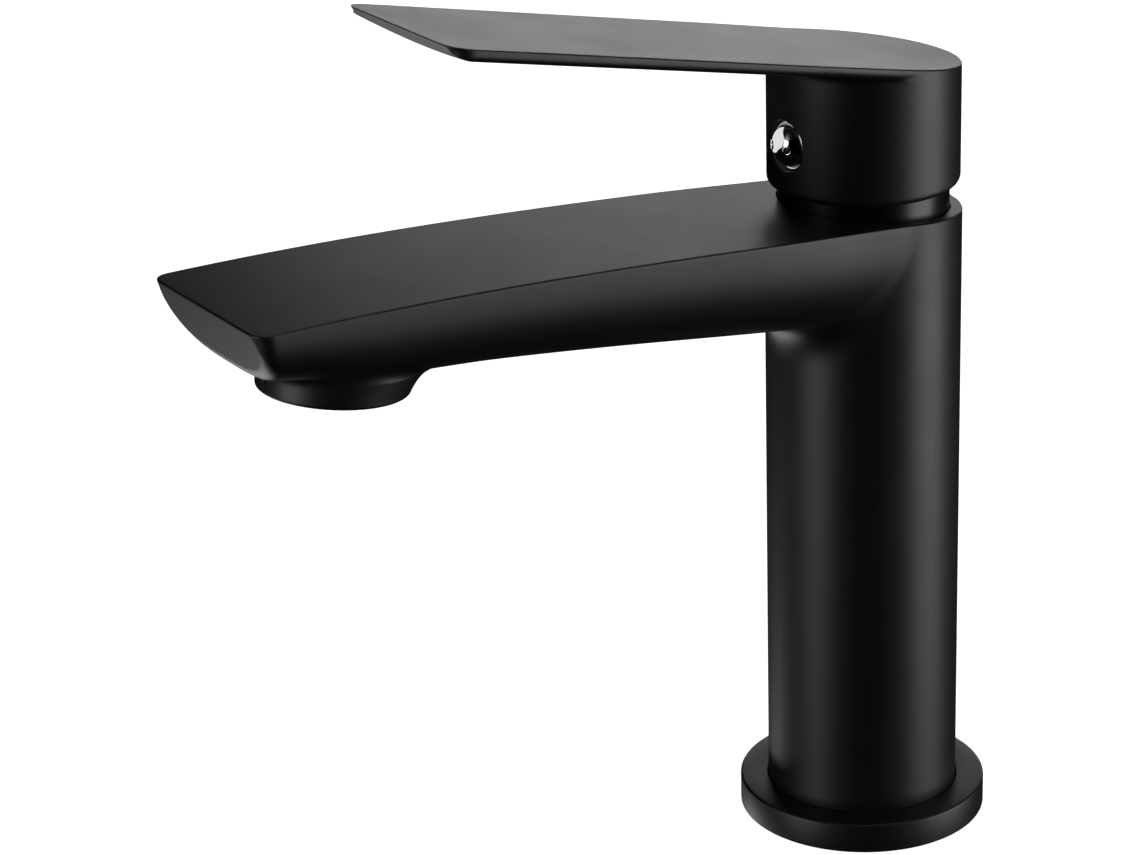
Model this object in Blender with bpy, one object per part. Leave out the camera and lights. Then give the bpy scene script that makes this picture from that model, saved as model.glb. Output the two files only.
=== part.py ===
"""Single-lever bathroom mixer faucet, in metres, +Z up.

The origin is the centre of the foot, on the deck. The spout and the lever point along -Y.
Turned pieces come from spun outlines, the spout and the lever are bridged section loops,
and bores are Boolean cuts. Every fit is one piece's size and a named clearance.
"""

import math

import bmesh
import bpy
from mathutils import Matrix, Vector

# Clearances
GAP = 0.0003                   # between two pieces that touch
SLIDE_FIT = 0.0006             # between pieces that move past each other

# Body: column and spout
COLUMN_RADIUS = 0.0200
BODY_TOP_HEIGHT = 0.1352       # top face of the body on the column's axis
TOP_RISE = 0.0131              # climb of the top face over TOP_RUN
TOP_RUN = 0.1395
TOP_SAG = 0.0038               # how much the climb has flattened out at TOP_RUN
SPOUT_LENGTH = 0.1493          # column axis to the tip's upper edge
SPOUT_HALF_WIDTH = COLUMN_RADIUS + 0.0011
SPOUT_ROOT_HALF_WIDTH = COLUMN_RADIUS - 0.0001
SPOUT_ROOT_DEPTH = 0.0232
SPOUT_MID_DEPTH = 0.0166       # depth over the outlet
SPOUT_TIP_DEPTH = 0.0125
SPOUT_SQUARENESS = 2.7         # exponent of the section's lower curve, 2 is an ellipse
SPOUT_TIP_RAKE = 0.36          # run back per unit of drop
SPOUT_ROOT_FILLET = 0.0070
SPOUT_OVERRUN = 0.0060         # past the tip and over the top face, trimmed by cuts
COLUMN_WALL = 0.0030
RIM_WALL = 0.0023

# Foot
FOOT_RADIUS = COLUMN_RADIUS + 0.0060
FOOT_HEIGHT = 0.0064
FOOT_FLOOR = 0.0020
FOOT_HOLE_RADIUS = COLUMN_RADIUS - 0.0035
FOOT_EDGE_ROUND = 0.0006
SEAL_WIDTH = 0.0024
SEAL_DEPTH = 0.0014
SEAL_INNER_RADIUS = COLUMN_RADIUS + 0.0012

# Outlet and its aerator
OUTLET_REACH = 0.1237
OUTLET_DROP = 0.0211           # below the top face at OUTLET_REACH
OUTLET_TILT = math.radians(6.5)    # aims the water a little away from the column
OUTLET_RADIUS = 0.0145
AERATOR_RADIUS = 0.0118
AERATOR_HEIGHT = 0.0095
AERATOR_WALL = 0.0019
AERATOR_FLOOR = 0.0016
AERATOR_WASHER_HEIGHT = 0.0016
AERATOR_RECESS = 0.0012        # how far the aerator sits inside the outlet
AERATOR_WASHER_INSET = 0.0010
SCREEN_HEIGHT = 0.0008
SCREEN_HOLE_RADIUS = 0.0022
SCREEN_HOLE_COUNT = 6
SCREEN_HOLE_CIRCLE = 0.55      # share of the shell's inner radius
JET_RADIUS = 0.0011
JET_COUNT = 12
JET_CIRCLE = 0.70              # share of the shell's inner radius
WATERWAY_RADIUS = 0.0048
WATERWAY_START_DEPTH = 0.0144  # below the body's top, inside the chamber
WATERWAY_START_REACH = 0.0051
WATERWAY_END_OFFSET = 0.0040   # from the outlet's axis towards the column

# Cartridge
CARTRIDGE_RADIUS = 0.625 * COLUMN_RADIUS# a 25 mm cartridge
CARTRIDGE_WALL = 0.0012
CHAMBER_FLOOR = BODY_TOP_HEIGHT - 0.0432
PORT_SEAL_HEIGHT = 0.0018
CARTRIDGE_BASE_HEIGHT = 0.0040
FIXED_DISC_HEIGHT = 0.0035
FIXED_DISC_RADIUS = 0.864 * CARTRIDGE_RADIUS
MOVING_DISC_HEIGHT = 0.0030
MIXING_HOLLOW_DEPTH = 0.0015
CARRIER_HEIGHT = 0.0080
CARRIER_POCKET_DEPTH = 0.0055
TURRET_FLANGE_HEIGHT = 0.0030
TURRET_NECK_RADIUS = 0.64 * CARTRIDGE_RADIUS
TURRET_NECK_TOP = 0.0090       # above the lever's pivot
HOUSING_LIP_HEIGHT = 0.0026
NECK_SEAL_WIDTH = 0.0012
NECK_SEAL_HEIGHT = 0.0017
INLET_PORT_RADIUS = 0.192 * CARTRIDGE_RADIUS
INLET_PORT_OFFSET = 0.464 * CARTRIDGE_RADIUS
INLET_PORT_SETBACK = 0.256 * CARTRIDGE_RADIUS# towards +Y
OUTLET_PORT_RADIUS = 0.24 * CARTRIDGE_RADIUS
OUTLET_PORT_OFFSET = 0.496 * CARTRIDGE_RADIUS# towards -Y
PORT_SEAL_WALL = 0.0010
INLET_THREAD_RADIUS = 0.36 * CARTRIDGE_RADIUS# tapped holes for the supply hoses
INLET_THREAD_OFFSET = 0.56 * CARTRIDGE_RADIUS
INLET_THREAD_ROOF = 0.0056     # below the chamber floor
INLET_WEB = 0.0160             # metal between the chamber and the hollow column
PORT_OVERLAP = 0.0020          # how far a port runs into its hose thread

# Lever pivot and stem
PIVOT_HEIGHT = BODY_TOP_HEIGHT - 0.0072
LIFT_RANGE = math.radians(20)
STEM_ARM = 0.0155              # pivot to the stem's lower ball
STEM_BALL_RADIUS = 0.0022
STEM_LEG_RADIUS = 0.0018
STEM_SIDE = 0.0060
STEM_TOP = 0.0300              # above the pivot, along the stem
PIN_RADIUS = 0.0012

# Retaining nut and cap
NUT_THREAD_RADIUS = CARTRIDGE_RADIUS + 0.0018
NUT_HEAD_HEIGHT = 0.0070
NUT_HEAD_FIT = 0.0008          # between the head's corners and the cap
NUT_BORE_FIT = 0.0008
CAP_WALL = 0.0015
CAP_TOP = BODY_TOP_HEIGHT + 0.0073
CAP_SHOULDER = BODY_TOP_HEIGHT + 0.0046
CAP_OPENING = TURRET_NECK_RADIUS + 0.0015
CAP_SEAT_DEPTH = 0.0067        # seat in the body, below the body's top
CAP_SHOULDER_DROP = 0.0012     # inner shoulder below the outer one
CAP_DOME_STEPS = 6

# Handle
SKIRT_BOTTOM = BODY_TOP_HEIGHT + 0.0043
SKIRT_WALL = 0.0017
SKIRT_EDGE_ROUND = 0.0016
SKIRT_CEILING = SKIRT_BOTTOM + 0.0195
LEVER_TOP_HEIGHT = SKIRT_BOTTOM + 0.0271# top face on the column's axis
LEVER_SLOPE = 0.2187           # climb per unit of reach
LEVER_LENGTH = 0.1067
LEVER_HALF_WIDTH = COLUMN_RADIUS + 0.0002
LEVER_EDGE = 0.0023
LEVER_ROOT_CROWN = 0.0026
LEVER_TIP_CROWN = 0.0010
LEVER_TIP_RAKE = 0.90
LEVER_OVERRUN = 0.0080         # past the tip and over the top face, trimmed by cuts
LEVER_START = 0.0006           # first section, just in front of the axis
SOCKET_RADIUS = 0.0078
SOCKET_BOTTOM = SKIRT_BOTTOM + 0.0070
SOCKET_SETBACK = -0.0045
PLUG_HEIGHT = SKIRT_BOTTOM + 0.0106
PLUG_RADIUS = 0.0050
PLUG_DOME = 0.0028
PLUG_SINK = 0.0011             # dome's edge below the skirt's surface
PLUG_BOSS_WALL = 0.0012        # boss inside the skirt, around the plug's seat
PLUG_BOSS_COVER = 0.0012       # skirt left in front of the boss
PLUG_BOSS_DEPTH = 0.0038       # along the bore
PLUG_STUB_LENGTH = 0.0022
PLUG_STUB_RADIUS = 0.0030
PLUG_DOME_STEPS = 8
DOT_RADIUS = 0.0008
DOT_DEPTH = 0.0007
DOT_OFFSET = 0.0028
GRUB_RADIUS = 0.0025
GRUB_RECESS = 0.0008            # hexagon end behind the plug's stub
GRUB_HEX_RADIUS = 0.0014
GRUB_HEX_DEPTH = 0.0025

# Fixing set under the deck
DECK_THICKNESS = 0.0200
STUD_RADIUS = 0.0039
STUD_BELOW = 0.0580
STUD_GRIP = 0.0180
LUG_RADIUS = 0.0075
LUG_HEIGHT = 0.0240
LUG_START = 0.0080
CLAMP_RADIUS = COLUMN_RADIUS + 0.0040
CLAMP_SLOT_HALF_WIDTH = CLAMP_RADIUS - 0.0115
GASKET_THICKNESS = 0.0020
WASHER_THICKNESS = 0.0025
FIXING_NUT_HEIGHT = 0.0120
FIXING_NUT_ACROSS_FLATS = 0.0120

# Facets
ROUND_SIDES = 60
CORE_SIDES = 40
SMALL_SIDES = 24
TINY_SIDES = 16
HOLE_SIDES = 10
EDGE_STEPS = 3
BALL_STEPS = 8
SPOUT_STATIONS = 12            # sections in the root's fillet, and again in the rest
LEVER_STATIONS = 8
TOP_STEPS = 24
HORSESHOE_STEPS = 40
SLOT_STEPS = 12

# Sizes that follow
STUD_SETBACK = COLUMN_RADIUS - COLUMN_WALL - LUG_RADIUS + GAP    # the lug bites into the wall
CLAMP_SLOT_END = STUD_SETBACK - 0.0068                # the slot's closed end, towards +Y
CHAMBER_RADIUS = CARTRIDGE_RADIUS + GAP
NUT_SEAT_RADIUS = NUT_THREAD_RADIUS + GAP
CAP_RADIUS = COLUMN_RADIUS - RIM_WALL - GAP
PLUG_FACE = COLUMN_RADIUS - PLUG_SINK
PLUG_BACK = PLUG_FACE - PLUG_STUB_LENGTH
NUT_HEAD_ACROSS_FLATS = math.sqrt(3) * (CAP_RADIUS - CAP_WALL - NUT_HEAD_FIT)
COLUMN_FOOT = FOOT_FLOOR + GAP
BASE_BOTTOM = CHAMBER_FLOOR + PORT_SEAL_HEIGHT + 2 * GAP
BASE_TOP = BASE_BOTTOM + CARTRIDGE_BASE_HEIGHT
FIXED_DISC_BOTTOM = BASE_TOP + GAP
MOVING_DISC_BOTTOM = FIXED_DISC_BOTTOM + FIXED_DISC_HEIGHT + GAP
CARRIER_BOTTOM = MOVING_DISC_BOTTOM + MOVING_DISC_HEIGHT + GAP
CARRIER_TOP = CARRIER_BOTTOM + CARRIER_HEIGHT
TURRET_BOTTOM = CARRIER_TOP + GAP
TURRET_SHOULDER = TURRET_BOTTOM + TURRET_FLANGE_HEIGHT
HOUSING_INNER_RADIUS = CARTRIDGE_RADIUS - CARTRIDGE_WALL
HOUSING_CEILING = TURRET_SHOULDER + GAP
HOUSING_TOP = HOUSING_CEILING + HOUSING_LIP_HEIGHT
NUT_BOTTOM = HOUSING_TOP + GAP
CAP_SEAT = BODY_TOP_HEIGHT - CAP_SEAT_DEPTH
NUT_SHOULDER = CAP_SEAT + GAP
REST_LEAN = LIFT_RANGE / 2
DISC_REST_OFFSET = STEM_ARM * math.sin(REST_LEAN)
MOVING_DISC_RADIUS = HOUSING_INNER_RADIUS - DISC_REST_OFFSET - SLIDE_FIT
MIXING_HOLLOW_RADIUS = 0.6 * MOVING_DISC_RADIUS
COLUMN_CEILING = CHAMBER_FLOOR - INLET_WEB
WIDE = 0.3                     # longer than any piece, for cutters
TALL = 0.28                    # over the lever's tip, for solids that a cut trims
OVERRUN = 0.001                # how far a cutter runs past the face it opens

COLORS = {
    "matt_black": ((0.012, 0.012, 0.013), 0.42, 0.0),
    "chrome": ((0.83, 0.84, 0.85), 0.08, 1.0),
    "brass": ((0.75, 0.55, 0.25), 0.32, 1.0),
    "steel": ((0.60, 0.60, 0.61), 0.34, 1.0),
    "black_rubber": ((0.020, 0.020, 0.020), 0.75, 0.0),
    "white_plastic": ((0.82, 0.82, 0.80), 0.40, 0.0),
    "grey_plastic": ((0.30, 0.31, 0.33), 0.45, 0.0),
    "ceramic": ((0.88, 0.87, 0.84), 0.18, 0.0),
    "red_enamel": ((0.60, 0.02, 0.02), 0.30, 0.0),
    "blue_enamel": ((0.01, 0.03, 0.09), 0.30, 0.0),
}


def clear_scene():
    for item in list(bpy.data.objects):
        bpy.data.objects.remove(item, do_unlink=True)


def finish(name):
    """The named finish as a Principled material, made once."""
    found = bpy.data.materials.get(name)
    if found:
        return found
    color, roughness, metallic = COLORS[name]
    made = bpy.data.materials.new(name)
    made.use_nodes = True
    shader = made.node_tree.nodes["Principled BSDF"]
    shader.inputs["Base Color"].default_value = (*color, 1.0)
    shader.inputs["Roughness"].default_value = roughness
    shader.inputs["Metallic"].default_value = metallic
    made.diffuse_color = (*color, 1.0)
    return made


def add_object(name, shape, finish_name=None):
    """A scene object from a bmesh. Without a finish it is a cutter or a half, kept out of renders."""
    bmesh.ops.recalc_face_normals(shape, faces=shape.faces)
    mesh = bpy.data.meshes.new(name)
    shape.to_mesh(mesh)
    shape.free()
    mesh.shade_smooth()
    mesh.set_sharp_from_angle(angle=math.radians(35))
    made = bpy.data.objects.new(name, mesh)
    bpy.context.scene.collection.objects.link(made)
    if finish_name:
        mesh.materials.append(finish(finish_name))
    else:
        made.hide_render = True
        made.display_type = "WIRE"
    return made


def turned(name, outline, finish_name=None, sides=ROUND_SIDES, place=None):
    """A turned piece: the closed (radius, height) outline spun round Z, then moved by place."""
    shape = bmesh.new()
    corners = [shape.verts.new((radius, 0, height)) for radius, height in outline]
    edges = []
    for first, second in zip(corners, corners[1:] + corners[:1]):
        if first.co.x > 0 or second.co.x > 0:
            edges.append(shape.edges.new((first, second)))
    bmesh.ops.spin(
        shape, geom=corners + edges, axis=(0, 0, 1), cent=(0, 0, 0),
        angle=2 * math.pi, steps=sides, use_merge=True,
    )
    bmesh.ops.remove_doubles(shape, verts=shape.verts, dist=1e-6)
    if place:
        bmesh.ops.transform(shape, matrix=place, verts=shape.verts)
    return add_object(name, shape, finish_name)


def rod(name, radius, bottom, top, finish_name=None, sides=SMALL_SIDES, place=None):
    outline = [(0, top), (radius, top), (radius, bottom), (0, bottom)]
    return turned(name, outline, finish_name, sides, place)


def ring(name, inner, outer, bottom, top, finish_name=None, sides=SMALL_SIDES, place=None):
    outline = [(inner, top), (outer, top), (outer, bottom), (inner, bottom)]
    return turned(name, outline, finish_name, sides, place)


def bridged(name, sections, finish_name=None):
    """A closed skin through equal-length section loops, with a face on each end."""
    shape = bmesh.new()
    loops = []
    for section in sections:
        corners = [shape.verts.new(point) for point in section]
        loops.append(corners)
    for before, after in zip(loops, loops[1:]):
        edges = []
        for loop in (before, after):
            for first, second in zip(loop, loop[1:] + loop[:1]):
                edges.append(shape.edges.get((first, second)) or shape.edges.new((first, second)))
        bmesh.ops.bridge_loops(shape, edges=edges)
    shape.faces.new(loops[0])
    shape.faces.new(loops[-1])
    return add_object(name, shape, finish_name)


def side_prism(name, outline, half_width, finish_name=None):
    """An outline of (reach, height) points, extruded along X. Reach is distance along -Y."""
    shape = bmesh.new()
    face = shape.faces.new([shape.verts.new((-half_width, -reach, z)) for reach, z in outline])
    extruded = bmesh.ops.extrude_face_region(shape, geom=[face])
    moved = [item for item in extruded["geom"] if isinstance(item, bmesh.types.BMVert)]
    bmesh.ops.translate(shape, verts=moved, vec=(2 * half_width, 0, 0))
    return add_object(name, shape, finish_name)


def flat_plate(name, outline, bottom, top, finish_name=None):
    """An (x, y) outline extruded from bottom to top."""
    shape = bmesh.new()
    face = shape.faces.new([shape.verts.new((x, y, bottom)) for x, y in outline])
    extruded = bmesh.ops.extrude_face_region(shape, geom=[face])
    moved = [item for item in extruded["geom"] if isinstance(item, bmesh.types.BMVert)]
    bmesh.ops.translate(shape, verts=moved, vec=(0, 0, top - bottom))
    return add_object(name, shape, finish_name)


def block(name, size, center, finish_name=None, place=None):
    shape = bmesh.new()
    bmesh.ops.create_cube(shape, size=1.0)
    bmesh.ops.scale(shape, vec=size, verts=shape.verts)
    bmesh.ops.translate(shape, vec=center, verts=shape.verts)
    if place:
        bmesh.ops.transform(shape, matrix=place, verts=shape.verts)
    return add_object(name, shape, finish_name)


def combine(target, tool, operation):
    step = target.modifiers.new(operation.lower() + "_" + tool.name, "BOOLEAN")
    step.operation = operation
    step.object = tool
    step.solver = "EXACT"


def cut(target, *tools):
    for tool in tools:
        combine(target, tool, "DIFFERENCE")


def join(target, *tools):
    for tool in tools:
        combine(target, tool, "UNION")


def hexagon(across_flats):
    radius = across_flats / math.sqrt(3)
    return [
        (radius * math.cos(math.radians(60 * k)), radius * math.sin(math.radians(60 * k)))
        for k in range(6)
    ]


def arc(center, radius, start, end, steps):
    """Points on a circular arc in a (radius, height) or (x, y) plane, angles in degrees."""
    return [
        (
            center[0] + radius * math.cos(math.radians(start + (end - start) * k / steps)),
            center[1] + radius * math.sin(math.radians(start + (end - start) * k / steps)),
        )
        for k in range(steps + 1)
    ]


def mix(first, second, share):
    return first + (second - first) * share


def ease(share):
    share = min(max(share, 0.0), 1.0)
    return share * share * (3 - 2 * share)


def body_top(reach):
    """Height of the body's top face at a distance along -Y."""
    share = reach / TOP_RUN
    return BODY_TOP_HEIGHT + TOP_RISE * share - TOP_SAG * share ** 3


def lever_top(reach):
    return LEVER_TOP_HEIGHT + LEVER_SLOPE * reach


def spout_half_width(reach):
    return mix(SPOUT_ROOT_HALF_WIDTH, SPOUT_HALF_WIDTH, ease(reach / (2 * COLUMN_RADIUS)))


def spout_depth(reach):
    """Depth of the spout's section on its middle line, without the fillet at the root."""
    if reach < OUTLET_REACH:
        share = max(reach - COLUMN_RADIUS, 0.0) / (OUTLET_REACH - COLUMN_RADIUS)
        return mix(SPOUT_ROOT_DEPTH, SPOUT_MID_DEPTH, share)
    share = (reach - OUTLET_REACH) / (SPOUT_LENGTH - OUTLET_REACH)
    return mix(SPOUT_MID_DEPTH, SPOUT_TIP_DEPTH, share)


def root_fillet(reach, across):
    """Extra depth near the column: a quarter circle measured from the column's own surface."""
    column_front = math.sqrt(max(COLUMN_RADIUS ** 2 - across ** 2, 0.0))
    inside = column_front + SPOUT_ROOT_FILLET - reach
    inside = min(max(inside, 0.0), SPOUT_ROOT_FILLET)
    return SPOUT_ROOT_FILLET - math.sqrt(SPOUT_ROOT_FILLET ** 2 - inside ** 2)


def spout_section(reach, steps=22):
    """Lower half of a superellipse, closed above the top face, which a later cut trims."""
    width = spout_half_width(reach)
    top = body_top(reach)
    points = [(width, -reach, top + SPOUT_OVERRUN)]
    for step in range(steps + 1):
        angle = math.pi * step / steps
        share = math.copysign(abs(math.cos(angle)) ** (2 / SPOUT_SQUARENESS), math.cos(angle))
        down = math.sin(angle) ** (2 / SPOUT_SQUARENESS)
        depth = spout_depth(reach) + root_fillet(reach, width * share)
        points.append((width * share, -reach, top - depth * down))
    points.append((-width, -reach, top + SPOUT_OVERRUN))
    return points


def above_body():
    """Everything over the body's top face, as one prism."""
    back = -2 * COLUMN_RADIUS
    line = []
    for step in range(TOP_STEPS + 1):
        reach = mix(back, SPOUT_LENGTH + COLUMN_RADIUS, step / TOP_STEPS)
        line.append((reach, body_top(reach)))
    outline = line + [(line[-1][0], WIDE), (back, WIDE)]
    return side_prism("cut_above_body", outline, 2 * COLUMN_RADIUS)


def beyond_tip(name, length, top, rake):
    """Everything in front of an end face that starts at (length, top) and leans back below it."""
    drop = 2 * COLUMN_RADIUS
    outline = [
        (length + rake * drop, top + drop),
        (length - rake * drop, top - drop),
        (WIDE, top - drop),
        (WIDE, top + drop),
    ]
    return side_prism(name, outline, 2 * COLUMN_RADIUS)


def outlet_place():
    """Frame of the outlet: its rim's centre, with +Z into the spout along the water's axis."""
    center = Vector((0, -OUTLET_REACH, body_top(OUTLET_REACH) - OUTLET_DROP))
    return Matrix.Translation(center) @ Matrix.Rotation(-OUTLET_TILT, 4, "X")


def along(start, end):
    """A frame at start whose +Z points to end, and the distance between them."""
    start = Vector(start)
    span = Vector(end) - start
    turn = span.to_track_quat("Z", "Y").to_matrix().to_4x4()
    return Matrix.Translation(start) @ turn, span.length


def make_body():
    column = [
        (0, TALL), (COLUMN_RADIUS, TALL), (COLUMN_RADIUS, COLUMN_FOOT), (0, COLUMN_FOOT),
    ]
    body = turned("body", column, "matt_black")
    count = SPOUT_STATIONS
    start = COLUMN_RADIUS + SPOUT_ROOT_FILLET
    end = SPOUT_LENGTH + SPOUT_OVERRUN
    stations = [start * k / count for k in range(count + 1)]
    stations += [mix(start, end, k / count) for k in range(1, count + 1)]
    join(body, bridged("add_spout", [spout_section(reach) for reach in stations]))
    outlet = outlet_place()
    inward = spout_depth(OUTLET_REACH) * 0.8
    lip = [
        (0, inward), (OUTLET_RADIUS, inward), (OUTLET_RADIUS, 0), (0, 0),
    ]
    join(body, turned("add_outlet", lip, None, ROUND_SIDES, outlet))
    tip = beyond_tip("cut_spout_tip", SPOUT_LENGTH, body_top(SPOUT_LENGTH), SPOUT_TIP_RAKE)
    cut(body, above_body(), tip)
    cut_cartridge_chamber(body)
    cut_outlet(body, outlet)
    cut_column(body)
    return body


def cut_cartridge_chamber(body):
    """The stepped bore for cap, nut and cartridge, and the ports in its floor."""
    cut(body, rod("cut_cap_seat", CAP_RADIUS + GAP, CAP_SEAT, WIDE, None, ROUND_SIDES))
    cut(body, rod("cut_nut_seat", NUT_SEAT_RADIUS, HOUSING_TOP, WIDE, None, CORE_SIDES))
    cut(body, rod("cut_chamber", CHAMBER_RADIUS, CHAMBER_FLOOR, WIDE, None, CORE_SIDES))


def cut_outlet(body, outlet):
    """The aerator's bore and the waterway from the chamber floor to it."""
    depth = AERATOR_RECESS + AERATOR_HEIGHT + AERATOR_WASHER_HEIGHT + 3 * GAP
    bore = rod("cut_aerator_bore", AERATOR_RADIUS + GAP, -WIDE / 10, depth, None, CORE_SIDES, outlet)
    cut(body, bore)
    end = outlet @ Vector((0, WATERWAY_END_OFFSET, depth - WATERWAY_RADIUS / 2))
    start = (0, -WATERWAY_START_REACH, BODY_TOP_HEIGHT - WATERWAY_START_DEPTH)
    place, length = along(start, end)
    cut(body, rod("cut_waterway", WATERWAY_RADIUS, 0, length, None, TINY_SIDES, place))


def cut_column(body):
    """The hollow column, the hose threads in its ceiling and the lug that takes the stud."""
    hollow = COLUMN_RADIUS - COLUMN_WALL
    cut(body, rod("cut_column", hollow, -WIDE / 10, COLUMN_CEILING, None, CORE_SIDES))
    lug_place = Matrix.Translation((0, STUD_SETBACK, 0))
    lug = rod("add_lug", LUG_RADIUS, LUG_START, LUG_START + LUG_HEIGHT, None, SMALL_SIDES, lug_place)
    join(body, lug)
    grip_top = LUG_START + STUD_GRIP + GAP
    cut(body, rod("cut_stud", STUD_RADIUS + GAP, 0, grip_top, None, TINY_SIDES, lug_place))
    for side in (-1, 1):
        thread = Matrix.Translation((side * INLET_THREAD_OFFSET, 0, 0))
        roof = CHAMBER_FLOOR - INLET_THREAD_ROOF
        name = "cut_hose_thread_%d" % side
        start = COLUMN_CEILING - INLET_THREAD_RADIUS
        cut(body, rod(name, INLET_THREAD_RADIUS, start, roof, None, TINY_SIDES, thread))
        port = Matrix.Translation((side * INLET_PORT_OFFSET, INLET_PORT_SETBACK, 0))
        name = "cut_port_%d" % side
        start = roof - PORT_OVERLAP
        cut(body, rod(name, INLET_PORT_RADIUS, start, CHAMBER_FLOOR + OVERRUN, None, TINY_SIDES, port))


def make_foot():
    """The foot ring with a recess for the column and a groove for its seal."""
    edge = arc((FOOT_RADIUS - FOOT_EDGE_ROUND, FOOT_HEIGHT - FOOT_EDGE_ROUND),
               FOOT_EDGE_ROUND, 90, 0, EDGE_STEPS)
    groove_inner = SEAL_INNER_RADIUS - GAP
    groove_outer = SEAL_INNER_RADIUS + SEAL_WIDTH + GAP
    groove_top = SEAL_DEPTH + GAP
    recess = COLUMN_RADIUS + GAP
    outline = [(recess, FOOT_HEIGHT)] + edge + [
        (FOOT_RADIUS, 0),
        (groove_outer, 0), (groove_outer, groove_top), (groove_inner, groove_top), (groove_inner, 0),
        (FOOT_HOLE_RADIUS, 0), (FOOT_HOLE_RADIUS, FOOT_FLOOR), (recess, FOOT_FLOOR),
    ]
    turned("foot_ring", outline, "matt_black")
    ring("foot_seal", SEAL_INNER_RADIUS, SEAL_INNER_RADIUS + SEAL_WIDTH, 0, SEAL_DEPTH,
         "black_rubber", CORE_SIDES)


def make_aerator():
    """Threaded shell, jet insert, wire screen and washer, all on the outlet's axis."""
    outlet = outlet_place()
    bottom = AERATOR_RECESS
    top = bottom + AERATOR_HEIGHT
    inner = AERATOR_RADIUS - AERATOR_WALL
    lip = inner - AERATOR_FLOOR
    shell = [
        (inner, top), (AERATOR_RADIUS, top), (AERATOR_RADIUS, bottom), (lip, bottom),
        (lip, bottom + AERATOR_FLOOR), (inner, bottom + AERATOR_FLOOR),
    ]
    turned("aerator_shell", shell, "steel", CORE_SIDES, outlet)
    screen_bottom = bottom + AERATOR_FLOOR + GAP
    screen_top = screen_bottom + SCREEN_HEIGHT
    screen = rod("aerator_screen", inner - GAP, screen_bottom, screen_top, "steel", CORE_SIDES, outlet)
    circle = inner * SCREEN_HOLE_CIRCLE
    pierce(screen, "screen_hole", outlet, screen_bottom, screen_top, SCREEN_HOLE_RADIUS,
           SCREEN_HOLE_COUNT, circle)
    insert_bottom = screen_top + GAP
    insert = rod("aerator_insert", inner - GAP, insert_bottom, top, "white_plastic", CORE_SIDES, outlet)
    circle = inner * JET_CIRCLE
    pierce(insert, "jet_hole", outlet, insert_bottom, top, JET_RADIUS, JET_COUNT, circle)
    washer_bottom = top + GAP
    ring("aerator_washer", inner - AERATOR_WASHER_INSET, AERATOR_RADIUS, washer_bottom,
         washer_bottom + AERATOR_WASHER_HEIGHT, "black_rubber", CORE_SIDES, outlet)


def pierce(piece, name, place, bottom, top, radius, count, circle):
    """A ring of through holes round the piece's axis."""
    for k in range(count):
        turn = 2 * math.pi * k / count
        spot = Matrix.Translation((circle * math.cos(turn), circle * math.sin(turn), 0))
        hole = rod("%s_%d" % (name, k), radius, bottom - OVERRUN, top + OVERRUN, None, HOLE_SIDES,
                   place @ spot)
        cut(piece, hole)


def port_places():
    """The cartridge's hot, cold and outlet ports: name, centre and radius."""
    return (
        ("hot", (-INLET_PORT_OFFSET, INLET_PORT_SETBACK), INLET_PORT_RADIUS),
        ("cold", (INLET_PORT_OFFSET, INLET_PORT_SETBACK), INLET_PORT_RADIUS),
        ("mixed", (0, -OUTLET_PORT_OFFSET), OUTLET_PORT_RADIUS),
    )


def cut_ports(piece, bottom, top):
    for name, (x, y), radius in port_places():
        place = Matrix.Translation((x, y, 0))
        tool_name = "cut_%s_%s" % (piece.name, name)
        tool = rod(tool_name, radius, bottom - OVERRUN, top + OVERRUN, None, TINY_SIDES, place)
        cut(piece, tool)


def make_cartridge():
    """Base with port seals, fixed ceramic disc and the housing over them."""
    for name, (x, y), radius in port_places():
        place = Matrix.Translation((x, y, 0))
        bottom = CHAMBER_FLOOR + GAP
        ring(name + "_port_seal", radius, radius + PORT_SEAL_WALL, bottom, bottom + PORT_SEAL_HEIGHT,
             "black_rubber", TINY_SIDES, place)
    base = rod("cartridge_base", CARTRIDGE_RADIUS, BASE_BOTTOM, BASE_TOP, "white_plastic", CORE_SIDES)
    cut_ports(base, BASE_BOTTOM, BASE_TOP)
    disc_top = FIXED_DISC_BOTTOM + FIXED_DISC_HEIGHT
    disc = rod("fixed_disc", FIXED_DISC_RADIUS, FIXED_DISC_BOTTOM, disc_top, "ceramic", CORE_SIDES)
    cut_ports(disc, FIXED_DISC_BOTTOM, disc_top)
    seal_inner = TURRET_NECK_RADIUS + GAP
    seal_outer = seal_inner + NECK_SEAL_WIDTH
    lip_inner = seal_outer + GAP
    housing = [
        (lip_inner, HOUSING_TOP), (CARTRIDGE_RADIUS, HOUSING_TOP), (CARTRIDGE_RADIUS, FIXED_DISC_BOTTOM),
        (HOUSING_INNER_RADIUS, FIXED_DISC_BOTTOM), (HOUSING_INNER_RADIUS, HOUSING_CEILING),
        (lip_inner, HOUSING_CEILING),
    ]
    turned("cartridge_housing", housing, "grey_plastic", CORE_SIDES)
    seal_bottom = HOUSING_CEILING + GAP
    ring("turret_seal", seal_inner, seal_outer, seal_bottom, seal_bottom + NECK_SEAL_HEIGHT,
         "black_rubber", SMALL_SIDES)


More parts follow.
